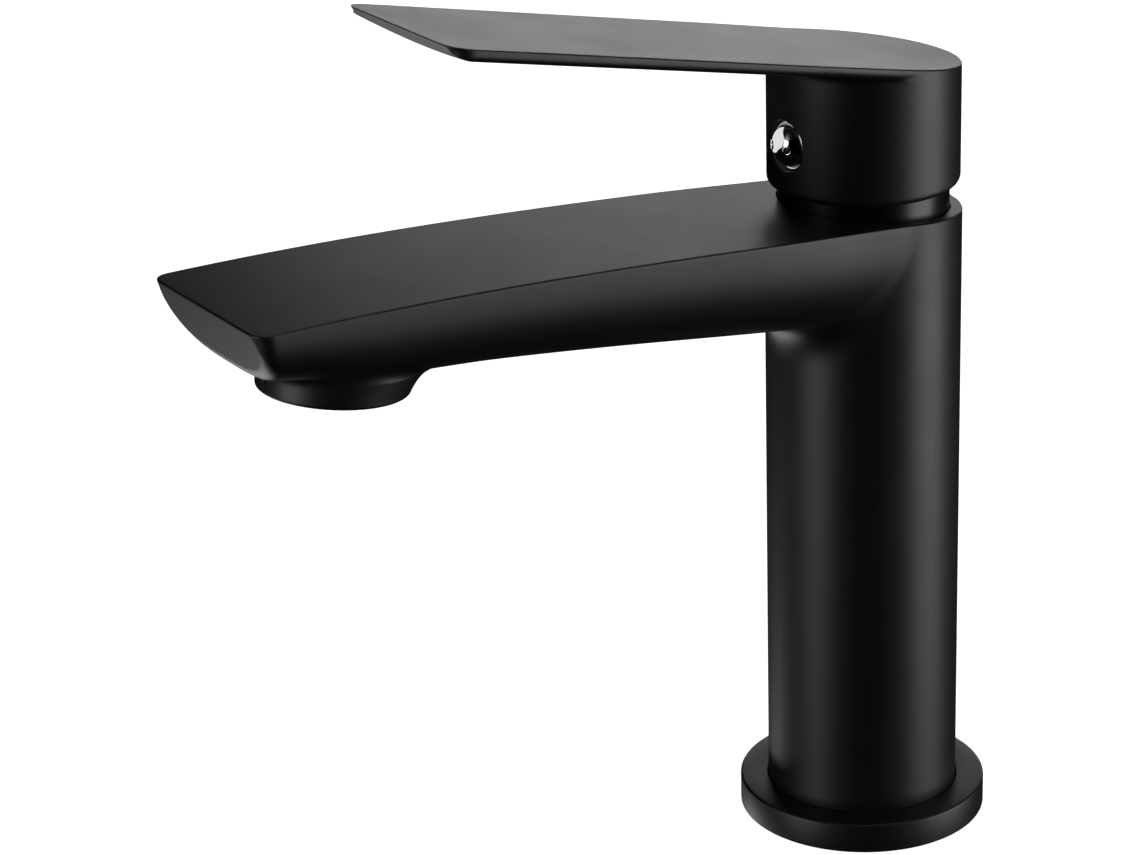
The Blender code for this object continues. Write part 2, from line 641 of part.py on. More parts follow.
def make_disc_slide():
    """The sliding ceramic disc with its mixing hollow, and the carrier that the stem pushes."""
    place = Matrix.Translation((0, DISC_REST_OFFSET, 0))
    top = MOVING_DISC_BOTTOM + MOVING_DISC_HEIGHT
    disc = rod("moving_disc", MOVING_DISC_RADIUS, MOVING_DISC_BOTTOM, top, "ceramic", CORE_SIDES,
               place)
    hollow = rod("cut_mixing_hollow", MIXING_HOLLOW_RADIUS, MOVING_DISC_BOTTOM - OVERRUN,
                 MOVING_DISC_BOTTOM + MIXING_HOLLOW_DEPTH, None, SMALL_SIDES, place)
    cut(disc, hollow)
    carrier = rod("disc_carrier", MOVING_DISC_RADIUS, CARRIER_BOTTOM, CARRIER_TOP, "white_plastic",
                  CORE_SIDES, place)
    pocket = rod("cut_pocket", STEM_BALL_RADIUS + SLIDE_FIT, CARRIER_TOP - CARRIER_POCKET_DEPTH,
                 CARRIER_TOP + OVERRUN, None, TINY_SIDES, place)
    cut(carrier, pocket)


def make_turret():
    """The turret that turns in the housing, slotted for the stem, and the pin across it."""
    neck_top = PIVOT_HEIGHT + TURRET_NECK_TOP
    flange = HOUSING_INNER_RADIUS - GAP
    outline = [
        (0, neck_top), (TURRET_NECK_RADIUS, neck_top), (TURRET_NECK_RADIUS, TURRET_SHOULDER),
        (flange, TURRET_SHOULDER), (flange, TURRET_BOTTOM), (0, TURRET_BOTTOM),
    ]
    turret = turned("turret", outline, "white_plastic", CORE_SIDES)
    swing = STEM_SIDE / 2 + TURRET_NECK_TOP * math.tan(REST_LEAN) + SLIDE_FIT
    slot_size = (STEM_SIDE + 2 * GAP, 2 * swing, WIDE)
    slot = block("cut_stem_slot", slot_size, (0, 0, PIVOT_HEIGHT))
    cut(turret, slot)
    across = Matrix.Translation((0, 0, PIVOT_HEIGHT)) @ Matrix.Rotation(math.pi / 2, 4, "Y")
    reach = TURRET_NECK_RADIUS - GAP
    cut(turret, rod("cut_pin_bore", PIN_RADIUS + GAP, -WIDE / 10, WIDE / 10, None, TINY_SIDES, across))
    rod("pivot_pin", PIN_RADIUS, -reach, reach, "steel", TINY_SIDES, across)


def stem_place():
    """Frame of the stem at rest: the pivot, leaning forward by half the lift."""
    return Matrix.Translation((0, 0, PIVOT_HEIGHT)) @ Matrix.Rotation(REST_LEAN, 4, "X")


def make_stem():
    """The lever's square stem: a round leg and a ball below the pivot."""
    place = stem_place()
    height = STEM_TOP + STEM_SIDE / 2
    middle = (STEM_TOP - STEM_SIDE / 2) / 2
    stem = block("lever_stem", (STEM_SIDE, STEM_SIDE, height), (0, 0, middle), "steel", place)
    leg = [(0, 0), (STEM_LEG_RADIUS, 0)]
    ball_start = math.degrees(math.acos(STEM_LEG_RADIUS / STEM_BALL_RADIUS))
    leg += arc((0, -STEM_ARM), STEM_BALL_RADIUS, ball_start, -90, BALL_STEPS)
    leg[-1] = (0, -STEM_ARM - STEM_BALL_RADIUS)
    join(stem, turned("add_stem_leg", leg, None, TINY_SIDES, place))
    across = Matrix.Translation((0, 0, PIVOT_HEIGHT)) @ Matrix.Rotation(math.pi / 2, 4, "Y")
    bore = rod("cut_stem_pin_bore", PIN_RADIUS + GAP, -WIDE / 10, WIDE / 10, None, TINY_SIDES, across)
    cut(stem, bore)


def make_retaining_nut():
    """The hexagon nut that holds the cartridge down."""
    bore = TURRET_NECK_RADIUS + NUT_BORE_FIT
    head_top = NUT_SHOULDER + NUT_HEAD_HEIGHT
    nut = rod("retaining_nut", NUT_THREAD_RADIUS, NUT_BOTTOM, head_top - GAP, "brass", CORE_SIDES)
    join(nut, flat_plate("add_nut_head", hexagon(NUT_HEAD_ACROSS_FLATS), NUT_SHOULDER, head_top))
    cut(nut, rod("cut_nut_bore", bore, 0, WIDE, None, CORE_SIDES))


def make_cap():
    """The domed cap over nut and turret, screwed into the body's seat."""
    bottom = CAP_SEAT + GAP
    inner = CAP_RADIUS - CAP_WALL
    outline = [(CAP_OPENING, CAP_TOP)]
    rise = CAP_TOP - CAP_SHOULDER
    run = CAP_RADIUS - CAP_OPENING
    for step in range(1, CAP_DOME_STEPS + 1):
        angle = math.pi / 2 * step / CAP_DOME_STEPS
        outline.append((CAP_OPENING + run * math.sin(angle), CAP_SHOULDER + rise * math.cos(angle)))
    outline += [(CAP_RADIUS, bottom), (inner, bottom), (inner, CAP_SHOULDER - CAP_SHOULDER_DROP)]
    outline += [(CAP_OPENING, CAP_TOP - CAP_WALL)]
    turned("dome_cap", outline, "matt_black")


def lever_section(reach, steps=10):
    """Flat edges and a crowned underside, closed above the top face, which a later cut trims."""
    share = reach / LEVER_LENGTH
    crown = mix(LEVER_ROOT_CROWN, LEVER_TIP_CROWN, ease(share))
    top = lever_top(reach)
    under = top - LEVER_EDGE
    points = [(LEVER_HALF_WIDTH, -reach, top + LEVER_OVERRUN)]
    for step in range(steps + 1):
        across = math.cos(math.pi * step / steps)
        points.append((LEVER_HALF_WIDTH * across, -reach, under - crown * (1 - across ** 2)))
    points.append((-LEVER_HALF_WIDTH, -reach, top + LEVER_OVERRUN))
    return points


def above_lever():
    back = -2 * COLUMN_RADIUS
    front = LEVER_LENGTH + COLUMN_RADIUS
    outline = [(back, lever_top(back)), (front, lever_top(front)), (front, WIDE), (back, WIDE)]
    return side_prism("cut_above_lever", outline, 2 * COLUMN_RADIUS)


def make_handle():
    """Skirt and lever in one casting, hollow over the cap, with a socket for the stem."""
    round_edge = arc((COLUMN_RADIUS - SKIRT_EDGE_ROUND, SKIRT_BOTTOM + SKIRT_EDGE_ROUND),
                     SKIRT_EDGE_ROUND, 0, -90, EDGE_STEPS)
    inner_edge = COLUMN_RADIUS - SKIRT_WALL
    round_edge = [(max(radius, inner_edge - SLIDE_FIT), height) for radius, height in round_edge]
    solid = [(0, TALL), (COLUMN_RADIUS, TALL)] + round_edge + [(0, SKIRT_BOTTOM)]
    handle = turned("lever_handle", solid, "matt_black")
    stations = [LEVER_START, COLUMN_RADIUS / 2]
    for k in range(LEVER_STATIONS + 1):
        stations.append(mix(COLUMN_RADIUS, LEVER_LENGTH + LEVER_OVERRUN, k / LEVER_STATIONS))
    join(handle, bridged("add_lever", [lever_section(reach) for reach in stations]))
    tip = beyond_tip("cut_lever_tip", LEVER_LENGTH, lever_top(LEVER_LENGTH), LEVER_TIP_RAKE)
    cut(handle, above_lever(), tip)
    cut(handle, rod("cut_skirt", COLUMN_RADIUS - SKIRT_WALL, 0, SKIRT_CEILING, None, ROUND_SIDES))
    socket = rod("add_socket", SOCKET_RADIUS, SOCKET_BOTTOM, SKIRT_CEILING + OVERRUN, None,
                 SMALL_SIDES, Matrix.Translation((0, SOCKET_SETBACK, 0)))
    join(handle, socket)
    side = STEM_SIDE + 2 * GAP
    reach = STEM_TOP + GAP
    cut(handle, block("cut_socket", (side, side, reach), (0, 0, reach / 2), None, stem_place()))
    bore = side_bore(PLUG_HEIGHT)
    seat = PLUG_FACE - GAP
    front = COLUMN_RADIUS - PLUG_BOSS_COVER
    boss = rod("add_plug_boss", PLUG_RADIUS + PLUG_BOSS_WALL, front - PLUG_BOSS_DEPTH, front, None,
               SMALL_SIDES, bore)
    join(handle, boss)
    plug = PLUG_RADIUS + GAP
    stub = PLUG_STUB_RADIUS + GAP
    grub = GRUB_RADIUS + GAP
    step = PLUG_BACK - GAP
    far = 2 * COLUMN_RADIUS
    outline = [(0, far), (plug, far), (plug, seat), (stub, seat), (stub, step), (grub, step)]
    outline += [(grub, 0), (0, 0)]
    cut(handle, turned("cut_plug_bore", outline, None, SMALL_SIDES, bore))


def side_bore(height):
    """Frame at the axis with +Z towards the front of the skirt."""
    return Matrix.Translation((0, 0, height)) @ Matrix.Rotation(math.pi / 2, 4, "X")


def stem_front(height):
    """Distance along -Y from the axis to the stem's front face at a height."""
    rise = height - PIVOT_HEIGHT
    return rise * math.tan(REST_LEAN) + STEM_SIDE / 2 / math.cos(REST_LEAN)


def make_grub_screw():
    """Hexagon-socket grub screw that clamps the stem, behind the plug."""
    bore = side_bore(PLUG_HEIGHT)
    start = stem_front(PLUG_HEIGHT) + GRUB_RADIUS * math.tan(REST_LEAN) + GAP
    end = PLUG_BACK - GRUB_RECESS
    screw = rod("grub_screw", GRUB_RADIUS, start, end, "steel", TINY_SIDES, bore)
    cut(screw, rod("cut_grub_hex", GRUB_HEX_RADIUS, end - GRUB_HEX_DEPTH, end + OVERRUN, None, 6, bore))


def make_plug():
    """The domed indicator plug on the skirt, with a hot and a cold dot set into it."""
    bore = side_bore(PLUG_HEIGHT)
    face = PLUG_FACE
    outline = [(0, face + PLUG_DOME)]
    for step in range(1, PLUG_DOME_STEPS + 1):
        angle = math.pi / 2 * step / PLUG_DOME_STEPS
        outline.append((PLUG_RADIUS * math.sin(angle), face + PLUG_DOME * math.cos(angle)))
    outline += [(PLUG_STUB_RADIUS, face), (PLUG_STUB_RADIUS, PLUG_BACK), (0, PLUG_BACK)]
    plug = turned("indicator_plug", outline, "chrome", SMALL_SIDES, bore)
    for name, side, color in (("hot_dot", -1, "red_enamel"), ("cold_dot", 1, "blue_enamel")):
        rise = face + PLUG_DOME * math.sqrt(1 - (DOT_OFFSET / PLUG_RADIUS) ** 2)
        place = bore @ Matrix.Translation((side * DOT_OFFSET, 0, 0))
        well = rod("cut_" + name, DOT_RADIUS + GAP / 2, rise - DOT_DEPTH, rise + 2 * OVERRUN, None,
                   TINY_SIDES, place)
        cut(plug, well)
        rod(name, DOT_RADIUS, rise - DOT_DEPTH + GAP / 2, rise, color, TINY_SIDES, place)


def horseshoe():
    """A disc with a slot open to -Y for the hoses, and its closed end round."""
    half = CLAMP_SLOT_HALF_WIDTH
    corner = math.degrees(math.asin(half / CLAMP_RADIUS))
    outline = arc((0, 0), CLAMP_RADIUS, -90 + corner, 270 - corner, HORSESHOE_STEPS)
    outline += arc((0, CLAMP_SLOT_END - half), half, 180, 0, SLOT_STEPS)
    return outline


def make_fixings():
    """Stud, horseshoe gasket and washer, and the long nut under the deck."""
    place = Matrix.Translation((0, STUD_SETBACK, 0))
    rod("fixing_stud", STUD_RADIUS, -STUD_BELOW, LUG_START + STUD_GRIP, "steel", TINY_SIDES, place)
    top = -DECK_THICKNESS
    levels = (
        ("horseshoe_gasket", GASKET_THICKNESS, "black_rubber"),
        ("horseshoe_washer", WASHER_THICKNESS, "steel"),
    )
    for name, thickness, finish_name in levels:
        plate = flat_plate(name, horseshoe(), top - thickness, top, finish_name)
        hole = rod("cut_" + name, STUD_RADIUS + GAP, -WIDE, WIDE, None, TINY_SIDES, place)
        cut(plate, hole)
        top -= thickness + GAP
    outline = [(x, y + STUD_SETBACK) for x, y in hexagon(FIXING_NUT_ACROSS_FLATS)]
    nut = flat_plate("fixing_nut", outline, top - FIXING_NUT_HEIGHT, top, "brass")
    cut(nut, rod("cut_fixing_nut", STUD_RADIUS + GAP, -WIDE, WIDE, None, TINY_SIDES, place))


def main():
    clear_scene()
    make_body()
    make_foot()
    make_aerator()
    make_cartridge()
    make_disc_slide()
    make_turret()
    make_stem()
    make_retaining_nut()
    make_cap()
    make_handle()
    make_grub_screw()
    make_plug()
    make_fixings()


main()
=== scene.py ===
"""Matt black single-lever basin mixer: finished surfaces, finishes, floor, light and camera.

Lengths are in metres and the spout and lever point along -Y. "Reach" is distance from the
column's axis along -Y, and "depth" is distance down from a part's top face. A "leaf" is a
cross-section plane of the spout or lever that may lean out of the upright.
"""
import math

import bmesh
import bpy
import numpy as np
from mathutils import Matrix, Vector


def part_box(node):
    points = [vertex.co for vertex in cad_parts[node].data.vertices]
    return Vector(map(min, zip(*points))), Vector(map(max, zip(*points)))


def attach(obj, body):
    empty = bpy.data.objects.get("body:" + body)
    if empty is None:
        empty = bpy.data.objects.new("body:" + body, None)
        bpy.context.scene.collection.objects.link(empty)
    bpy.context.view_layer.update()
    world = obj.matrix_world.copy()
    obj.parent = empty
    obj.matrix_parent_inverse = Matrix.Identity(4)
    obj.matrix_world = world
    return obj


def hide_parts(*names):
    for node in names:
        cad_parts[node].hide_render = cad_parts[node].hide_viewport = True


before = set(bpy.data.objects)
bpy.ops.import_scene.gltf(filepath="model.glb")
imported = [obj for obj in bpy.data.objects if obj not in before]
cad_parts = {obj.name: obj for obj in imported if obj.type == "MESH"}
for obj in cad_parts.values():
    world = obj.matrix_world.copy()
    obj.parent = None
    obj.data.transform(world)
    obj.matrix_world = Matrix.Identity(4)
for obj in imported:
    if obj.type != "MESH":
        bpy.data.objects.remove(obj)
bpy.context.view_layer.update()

MM = 0.001


def top_of(node):
    """Height of a node's top."""
    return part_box(node)[1][2]


def foot_of(node):
    """Height of a node's lowest point."""
    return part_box(node)[0][2]


# ---------------------------------------------------------------- sizes read from the frame
COLUMN_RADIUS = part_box("body")[1][1]
FOOT_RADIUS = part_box("foot_ring")[1][0]
FOOT_HEIGHT = top_of("foot_ring")
COLUMN_FOOT = foot_of("body")
SPOUT_LENGTH = -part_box("body")[0][1]
CAP_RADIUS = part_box("dome_cap")[1][0]
CAP_SEAT = foot_of("dome_cap")
CAP_TOP = top_of("dome_cap")
SKIRT_BOTTOM = foot_of("lever_handle")
LEVER_LENGTH = -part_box("lever_handle")[0][1]
LEVER_HALF_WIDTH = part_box("lever_handle")[1][0]
SEAL_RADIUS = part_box("foot_seal")[1][0]
PLUG_HEIGHT = (foot_of("indicator_plug") + top_of("indicator_plug")) / 2
PLUG_BACK = -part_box("indicator_plug")[1][1]
CLAMP_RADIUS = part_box("horseshoe_washer")[1][0]
STUD_SETBACK = (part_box("fixing_stud")[0][1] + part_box("fixing_stud")[1][1]) / 2
STUD_RADIUS = (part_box("fixing_stud")[1][0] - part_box("fixing_stud")[0][0]) / 2

# ---------------------------------------------------------------- body shape
BODY_TOP_HEIGHT = 135.2 * MM        # top face on the column's axis
TOP_RISE = 13.1 * MM                # climb of the top face over TOP_RUN
TOP_RUN = 139.5 * MM
TOP_SAG = 3.8 * MM                  # how much the climb has flattened out at TOP_RUN
SPOUT_HALF_WIDTH = 21.1 * MM
SPOUT_ROOT_HALF_WIDTH = 19.9 * MM
SPOUT_DEPTHS = ((20, 23.4), (45, 21.9), (70, 20.2), (95, 18.5), (124, 16.6), (149.3, 11.5))  # mm
SIDE_POWER = (2.9, 3.0)             # section: power of the width, at root and tip
DEPTH_POWER = (2.6, 2.8)            # section: power of the depth, at root and tip
TIP_RAKE = 0.36                     # run of the end face per unit of depth
TIP_ROUND = 2.4 * MM                # the end face's edge, low down
ROOT_BLEND = 7.5 * MM               # fillet between spout and column
RIM_ROUND = 0.40 * MM               # edge of a top face
OUTLET_REACH = 123.7 * MM
OUTLET_HEIGHT = 123.05 * MM
OUTLET_TILT = math.radians(6.5)
OUTLET_RADIUS = 14.5 * MM
OUTLET_BORE = 12.1 * MM
OUTLET_BORE_DEPTH = 13.4 * MM
OUTLET_LIP = 0.9 * MM
OUTLET_FLARE = 0.62                 # outward run per unit of height on the column's side
OUTLET_FLARE_HEIGHT = 5.0 * MM
OUTLET_REACH_UP = 11.0 * MM         # how far the outlet's wall runs up into the spout
OUTLET_BLEND = 2.6 * MM
TIP_PLAN_ROUND = 3.4 * MM           # the end face's corners as seen from above
TIP_PLAN_DEPTH = 5.0 * MM
BODY_SEAM = 29.0 * MM               # where the spout's sections begin
BODY_SEAM_LEAN = 0.10
COLLAR_HEIGHT = 92.0 * MM
CHAMBER_RADIUS = 14.0 * MM
CHAMBER_FLOOR = 92.0 * MM
HOLLOW_RADIUS = 16.5 * MM
HOLLOW_CEILING = 60.0 * MM
FIT = 0.3 * MM                      # clearance between two pieces that touch
FOOT_ROUND = 0.3 * MM               # the column's lower edge
BORE_ROUND = 0.5 * MM               # mouth of the outlet's bore

# ---------------------------------------------------------------- lever shape
SKIRT_RADIUS = 19.55 * MM
LEVER_TOP_HEIGHT = 166.6 * MM       # top face on the column's axis
LEVER_SLOPE = 0.2187                # climb per unit of reach
LEVER_BACK_START = 8.0 * MM         # reach where the top face starts to curve up
LEVER_BACK_CURVE = 1.5              # per metre
LEVER_ROOT_EDGE = 2.1 * MM          # height of the side band
LEVER_TIP_EDGE = 2.4 * MM
LEVER_ROOT_CROWN = 2.2 * MM         # how much thicker the lever is along its middle
LEVER_TIP_CROWN = 1.0 * MM
LEVER_TIP_RAKE = 0.90               # run of the tip's face per unit of depth
LEVER_UNDER_ROUND = 1.4 * MM        # edge between side band and underside
LEVER_PLAN_ROUND = 5.0 * MM         # the tip's corners as seen from above
LEVER_PLAN_DEPTH = 3.0 * MM
LEVER_LOW_ROUND = 2.0 * MM
LEVER_SEAM = 24.0 * MM              # where the lever's sections begin
LEVER_FAN = 0.25                    # how flat the fan of rays is that finds a section
SKIRT_BLEND = 0.8 * MM
SKIRT_COLLAR = 150.0 * MM
SKIRT_EDGE_ROUND = 1.6 * MM
SKIRT_WALL = 1.7 * MM
SKIRT_CEILING = 159.0 * MM

# ---------------------------------------------------------------- plug, foot, cap and clamp
PLUG_RADIUS = 5.0 * MM
PLUG_SINK = 1.6 * MM                # the plug's seat below the skirt's surface
PLUG_BORE_FIT = 0.25 * MM
PLUG_FOOT = 0.15 * MM               # straight wall below the plug's ring
PLUG_STUB_RADIUS = 3.0 * MM
DOME_RADIUS = 4.4 * MM
PLUG_DOME = 3.4 * MM
RING_RISE = 0.1 * MM                # the ring's middle above the plug's seat
DOT_OFFSET = 2.6 * MM
DOT_RADIUS = 0.8 * MM
DOT_RIM = 0.22 * MM
DOT_CROWN = 0.10 * MM
DOT_SINK = 0.04 * MM
DOT_DEPTH = 0.5 * MM
FOOT_EDGE_ROUND = 0.55 * MM
FOOT_LOW_ROUND = 0.25 * MM
FOOT_FLOOR = 2.0 * MM               # floor that the column stands on
SEAL_WIDTH = 2.4 * MM
CAP_OPENING = 9.5 * MM
CAP_SHOULDER = CAP_TOP - 2.7 * MM
CAP_WALL = 1.5 * MM
THREAD_PITCH = 1.25 * MM
THREAD_DEPTH = 0.6 * MM
THREAD_LEAD = 1.2 * MM              # cone at the stud's ends
NUT_CHAMFER = 1.0 * MM
NUT_BORE_CHAMFER = 0.4 * MM
CLAMP_SLOT = CLAMP_RADIUS - 11.5 * MM
CLAMP_END = STUD_SETBACK - 6.8 * MM

# ---------------------------------------------------------------- fineness of the grids
CONIC_WEIGHT = 0.78                 # how far a rounding is drawn into its corner
BEND_WEIGHT = 4.0 * MM              # extra length that a radian of bend counts for
RAY_LIMIT = 45.0 * MM
RAY_STEPS = 90
RAY_HALVINGS = 26
PROBE = 0.02 * MM                   # step for a surface's slope
RELAX_ROUNDS = 320
ARC_POINTS = 57
REAR_POINTS = 49
FLANK_POINTS = 30
TIP_ROWS = 12
END_ROWS = 24
RIM_ROWS = 7
TOP_ROWS = 15
TURNED_ANGLE = 40                   # degrees; a sharper edge than this stays crisp


def mix(first, second, share):
    """The value a share of the way from first to second."""
    return first + (second - first) * share


def ease(share):
    """3 s^2 - 2 s^3, held at 0 and 1 outside the span."""
    share = np.clip(share, 0.0, 1.0)
    return share * share * (3 - 2 * share)


def body_top(reach):
    """Height of the body's top face: a straight climb less a cubic sag."""
    share = reach / TOP_RUN
    return BODY_TOP_HEIGHT + TOP_RISE * share - TOP_SAG * share ** 3


def soft_union(first, second, width):
    """The smaller of two distances, less a parabola where they differ by under the width."""
    overlap = np.maximum(width - np.abs(first - second), 0.0) / width
    return np.minimum(first, second) - overlap * overlap * width / 4


def smooth_through(knots, reach):
    """A cubic Hermite curve through (reach, value) knots in mm, with slopes from the neighbours."""
    places = np.array([knot[0] for knot in knots]) * MM
    values = np.array([knot[1] for knot in knots]) * MM
    slopes = np.gradient(values, places)
    k = np.clip(np.searchsorted(places, reach) - 1, 0, len(places) - 2)
    run = places[k + 1] - places[k]
    t = np.clip((reach - places[k]) / run, 0.0, None)
    t2, t3 = t * t, t * t * t
    return (
        (2 * t3 - 3 * t2 + 1) * values[k]
        + (t3 - 2 * t2 + t) * run * slopes[k]
        + (3 * t2 - 2 * t3) * values[k + 1]
        + (t3 - t2) * run * slopes[k + 1]
    )


def outlet_axes():
    """Centre of the outlet's rim, its axis up into the spout, and its sideways direction."""
    center = np.array([0.0, -OUTLET_REACH, OUTLET_HEIGHT])
    up = np.array([0.0, math.sin(OUTLET_TILT), math.cos(OUTLET_TILT)])
    back = np.array([0.0, math.cos(OUTLET_TILT), -math.sin(OUTLET_TILT)])
    return center, up, back


def outlet_radius(height, toward_column):
    """The outlet's wall: upright at the front, flared outward with height on the column's side."""
    lean = OUTLET_FLARE * ((1 + toward_column) / 2) ** 2
    return OUTLET_RADIUS + lean * np.clip(height, 0.0, OUTLET_FLARE_HEIGHT)


def body_side(p):
    """Signed distance, about, to the body's side: column, spout section and outlet, blended.

    The spout is |x / width|^a + (depth / section depth)^b = 1. The blend narrows to nothing
    where two surfaces run the same way, so that the flanks stay flush.
    """
    x, y, z = p[..., 0], p[..., 1], p[..., 2]
    reach = -y
    radial = np.maximum(np.hypot(x, y), 1e-9)
    column = radial - COLUMN_RADIUS
    share = np.clip((reach - COLUMN_RADIUS) / (SPOUT_LENGTH - COLUMN_RADIUS), 0.0, 1.0)
    side_power = mix(SIDE_POWER[0], SIDE_POWER[1], share)
    depth_power = mix(DEPTH_POWER[0], DEPTH_POWER[1], share)
    width = mix(SPOUT_ROOT_HALF_WIDTH, SPOUT_HALF_WIDTH, ease(reach / (2 * COLUMN_RADIUS)))
    full = smooth_through(SPOUT_DEPTHS, np.maximum(reach, COLUMN_RADIUS))
    depth = np.maximum(body_top(reach) - z, 0.0)
    across = np.abs(x) / width
    down = depth / full
    level = across ** side_power + down ** depth_power - 1
    slope_x = side_power * np.maximum(across, 1e-6) ** (side_power - 1) / width
    slope_z = depth_power * np.maximum(down, 1e-6) ** (depth_power - 1) / full
    steep = np.maximum(np.hypot(slope_x, slope_z), 0.6 / width)
    spout = np.maximum(level / steep, -reach)
    along = np.abs(x) / radial * slope_x / steep
    body = soft_union(column, spout, ROOT_BLEND * np.clip(1 - along, 0.02, 1.0))
    center, up, back = outlet_axes()
    offset = p - center
    height = offset @ up
    rear = offset @ back
    ring = np.maximum(np.hypot(x, rear), 1e-9)
    outlet = ring - outlet_radius(height, rear / ring)
    outlet = outlet + np.maximum(height - OUTLET_REACH_UP, 0.0)
    along = np.abs(x) / ring * slope_x / steep
    return soft_union(body, outlet, OUTLET_BLEND * np.clip(1 - along, 0.02, 1.0))


def first_crossing(surface, start, direction):
    """Distance along each ray to where the surface turns positive, by marching, then halving."""
    marks = np.linspace(0, 1, RAY_STEPS) * RAY_LIMIT
    points = start[..., None, :] + direction[..., None, :] * marks[:, None]
    out = surface(points) > 0
    out[..., 0] = False
    first = np.argmax(out, axis=-1)
    low = marks[np.maximum(first - 1, 0)]
    high = marks[first]
    for _ in range(RAY_HALVINGS):
        middle = (low + high) / 2
        far = surface(start + direction * middle[..., None]) > 0
        high = np.where(far, middle, high)
        low = np.where(far, low, middle)
    return (low + high) / 2


def even_along(curve, count):
    """count points along a polyline, evenly by length, and closer together at its bends."""
    steps = np.diff(curve, axis=0)
    length = np.linalg.norm(steps, axis=1)
    heading = steps / np.maximum(length, 1e-12)[:, None]
    turn = np.zeros(len(length))
    turn[1:] = np.arccos(np.clip((heading[1:] * heading[:-1]).sum(1), -1, 1))
    measure = np.concatenate([[0], np.cumsum(length + BEND_WEIGHT * turn)])
    marks = np.linspace(0, measure[-1], count)
    return np.stack([np.interp(marks, measure, curve[:, k]) for k in range(3)], axis=1)


def leaf(top, reach, lean, x, depth):
    """Points of a leaning cross-section plane, from half-width and depth below the top face."""
    return np.stack([x, -reach + lean * depth, top(reach) - depth + 0 * x], axis=-1)


def rim_point(side, top, reach):
    """Where a surface's side meets its top face, on the +X side, at a reach."""
    start = leaf(top, reach, 0.0, np.zeros(1), np.full(1, 0.01 * MM))
    edge = first_crossing(side, start, np.array([[1.0, 0, 0]]))[0]
    return np.array([edge, -reach, top(reach)])


def leaf_curve(side, top, reach, lean, anchor, end, count, ratio):
    """A section's outline from just below the rim round to its end, by rays from an inner point.

    end is None for a section that closes on the middle plane, or the (x, depth) it stops at.
    ratio squeezes the fan of rays for a section flatter than it is wide.
    """
    dense = 260
    start = leaf(top, reach, lean, np.zeros(1), np.full(1, RIM_ROUND))
    rim = first_crossing(side, start, np.array([[1.0, 0, 0]]))[0]
    start_angle = math.atan2((RIM_ROUND - anchor) / ratio, rim)
    end_angle = math.pi / 2 if end is None else math.atan2((end[1] - anchor) / ratio, end[0])
    angle = np.linspace(start_angle, end_angle, dense)
    origin = leaf(top, reach, lean, np.zeros(dense), np.full(dense, anchor))
    far = leaf(top, reach, lean, np.cos(angle), anchor + ratio * np.sin(angle))
    direction = far - origin
    direction /= np.linalg.norm(direction, axis=1)[:, None]
    distance = first_crossing(side, origin, direction)
    curve = origin + direction * distance[:, None]
    curve[0] = leaf(top, reach, lean, np.array([rim]), np.array([RIM_ROUND]))[0]
    if end is None:
        curve[-1, 0] = 0.0
    else:
        curve[-1] = leaf(top, reach, lean, np.array([end[0]]), np.array([end[1]]))[0]
    return even_along(curve, count)


def slope_of(surface, p, axes=(0, 1, 2)):
    """The surface's slope at each point, by central differences, on the chosen axes."""
    slope = np.zeros_like(p)
    for k in axes:
        nudge = np.zeros(3)
        nudge[k] = PROBE
        slope[..., k] = (surface(p + nudge) - surface(p - nudge)) / (2 * PROBE)
    return slope


def descent(surface, p, axes=(0, 1, 2), rounds=8):
    """Points moved along the surface's own slope, on the chosen axes, until they lie on it."""
    p = np.array(p, float)
    longest = 2 * MM
    for _ in range(rounds):
        slope = slope_of(surface, p, axes)
        size = np.maximum((slope ** 2).sum(-1), 0.05)
        p -= slope * np.clip(surface(p) / size, -longest, longest)[..., None]
    return p


def outward(surface, p):
    """Unit direction in which the surface's distance grows fastest."""
    slope = slope_of(surface, p)
    return slope / np.maximum(np.linalg.norm(slope, axis=-1), 1e-12)[..., None]


def conic(first, corner, last, count):
    """Rows of a rounding from first to last, drawn towards the corner, as a rational quadratic."""
    t = np.linspace(0, 1, count)[:, None, None]
    a, b, c = (1 - t) ** 2, 2 * CONIC_WEIGHT * t * (1 - t), t * t
    return (a * first + b * corner + c * last) / (a + b + c)


def between(first, last, count, power=1.0):
    """Rows running straight from first to last."""
    t = (np.linspace(0, 1, count) ** power)[:, None, None]
    return first * (1 - t) + last * t


def inset_plan(line, amount):
    """A plan outline moved towards its inside, square to itself, with x kept at 0 on its ends."""
    mirrored = np.concatenate([line[1:2], line, line[-2:-1]])
    mirrored[0, 0] *= -1
    mirrored[-1, 0] *= -1
    along = mirrored[2:, :2] - mirrored[:-2, :2]
    along /= np.maximum(np.linalg.norm(along, axis=1), 1e-12)[:, None]
    moved = line.copy()
    moved[:, 0] += along[:, 1] * amount
    moved[:, 1] -= along[:, 0] * amount
    moved[0, 0] = 0.0
    moved[-1, 0] = 0.0
    return moved


def relaxed(surface, grid, rounds):
    """A grid settled onto the surface: every inner point to the mean of its neighbours, then back.

    The first and last columns lie on the middle plane and use mirrored neighbours.
    """
    flip = np.array([-1.0, 1, 1])
    for turn in range(rounds):
        wide = np.concatenate([grid[:, 1:2] * flip, grid, grid[:, -2:-1] * flip], axis=1)
        mean = (wide[1:-1, 2:] + wide[1:-1, :-2] + wide[2:, 1:-1] + wide[:-2, 1:-1]) / 4
        grid[1:-1] = mean
        if turn % 4 == 3 or turn == rounds - 1:
            grid[1:-1] = descent(surface, grid[1:-1], rounds=3)
            grid[:, 0, 0] = 0.0
            grid[:, -1, 0] = 0.0
    return grid


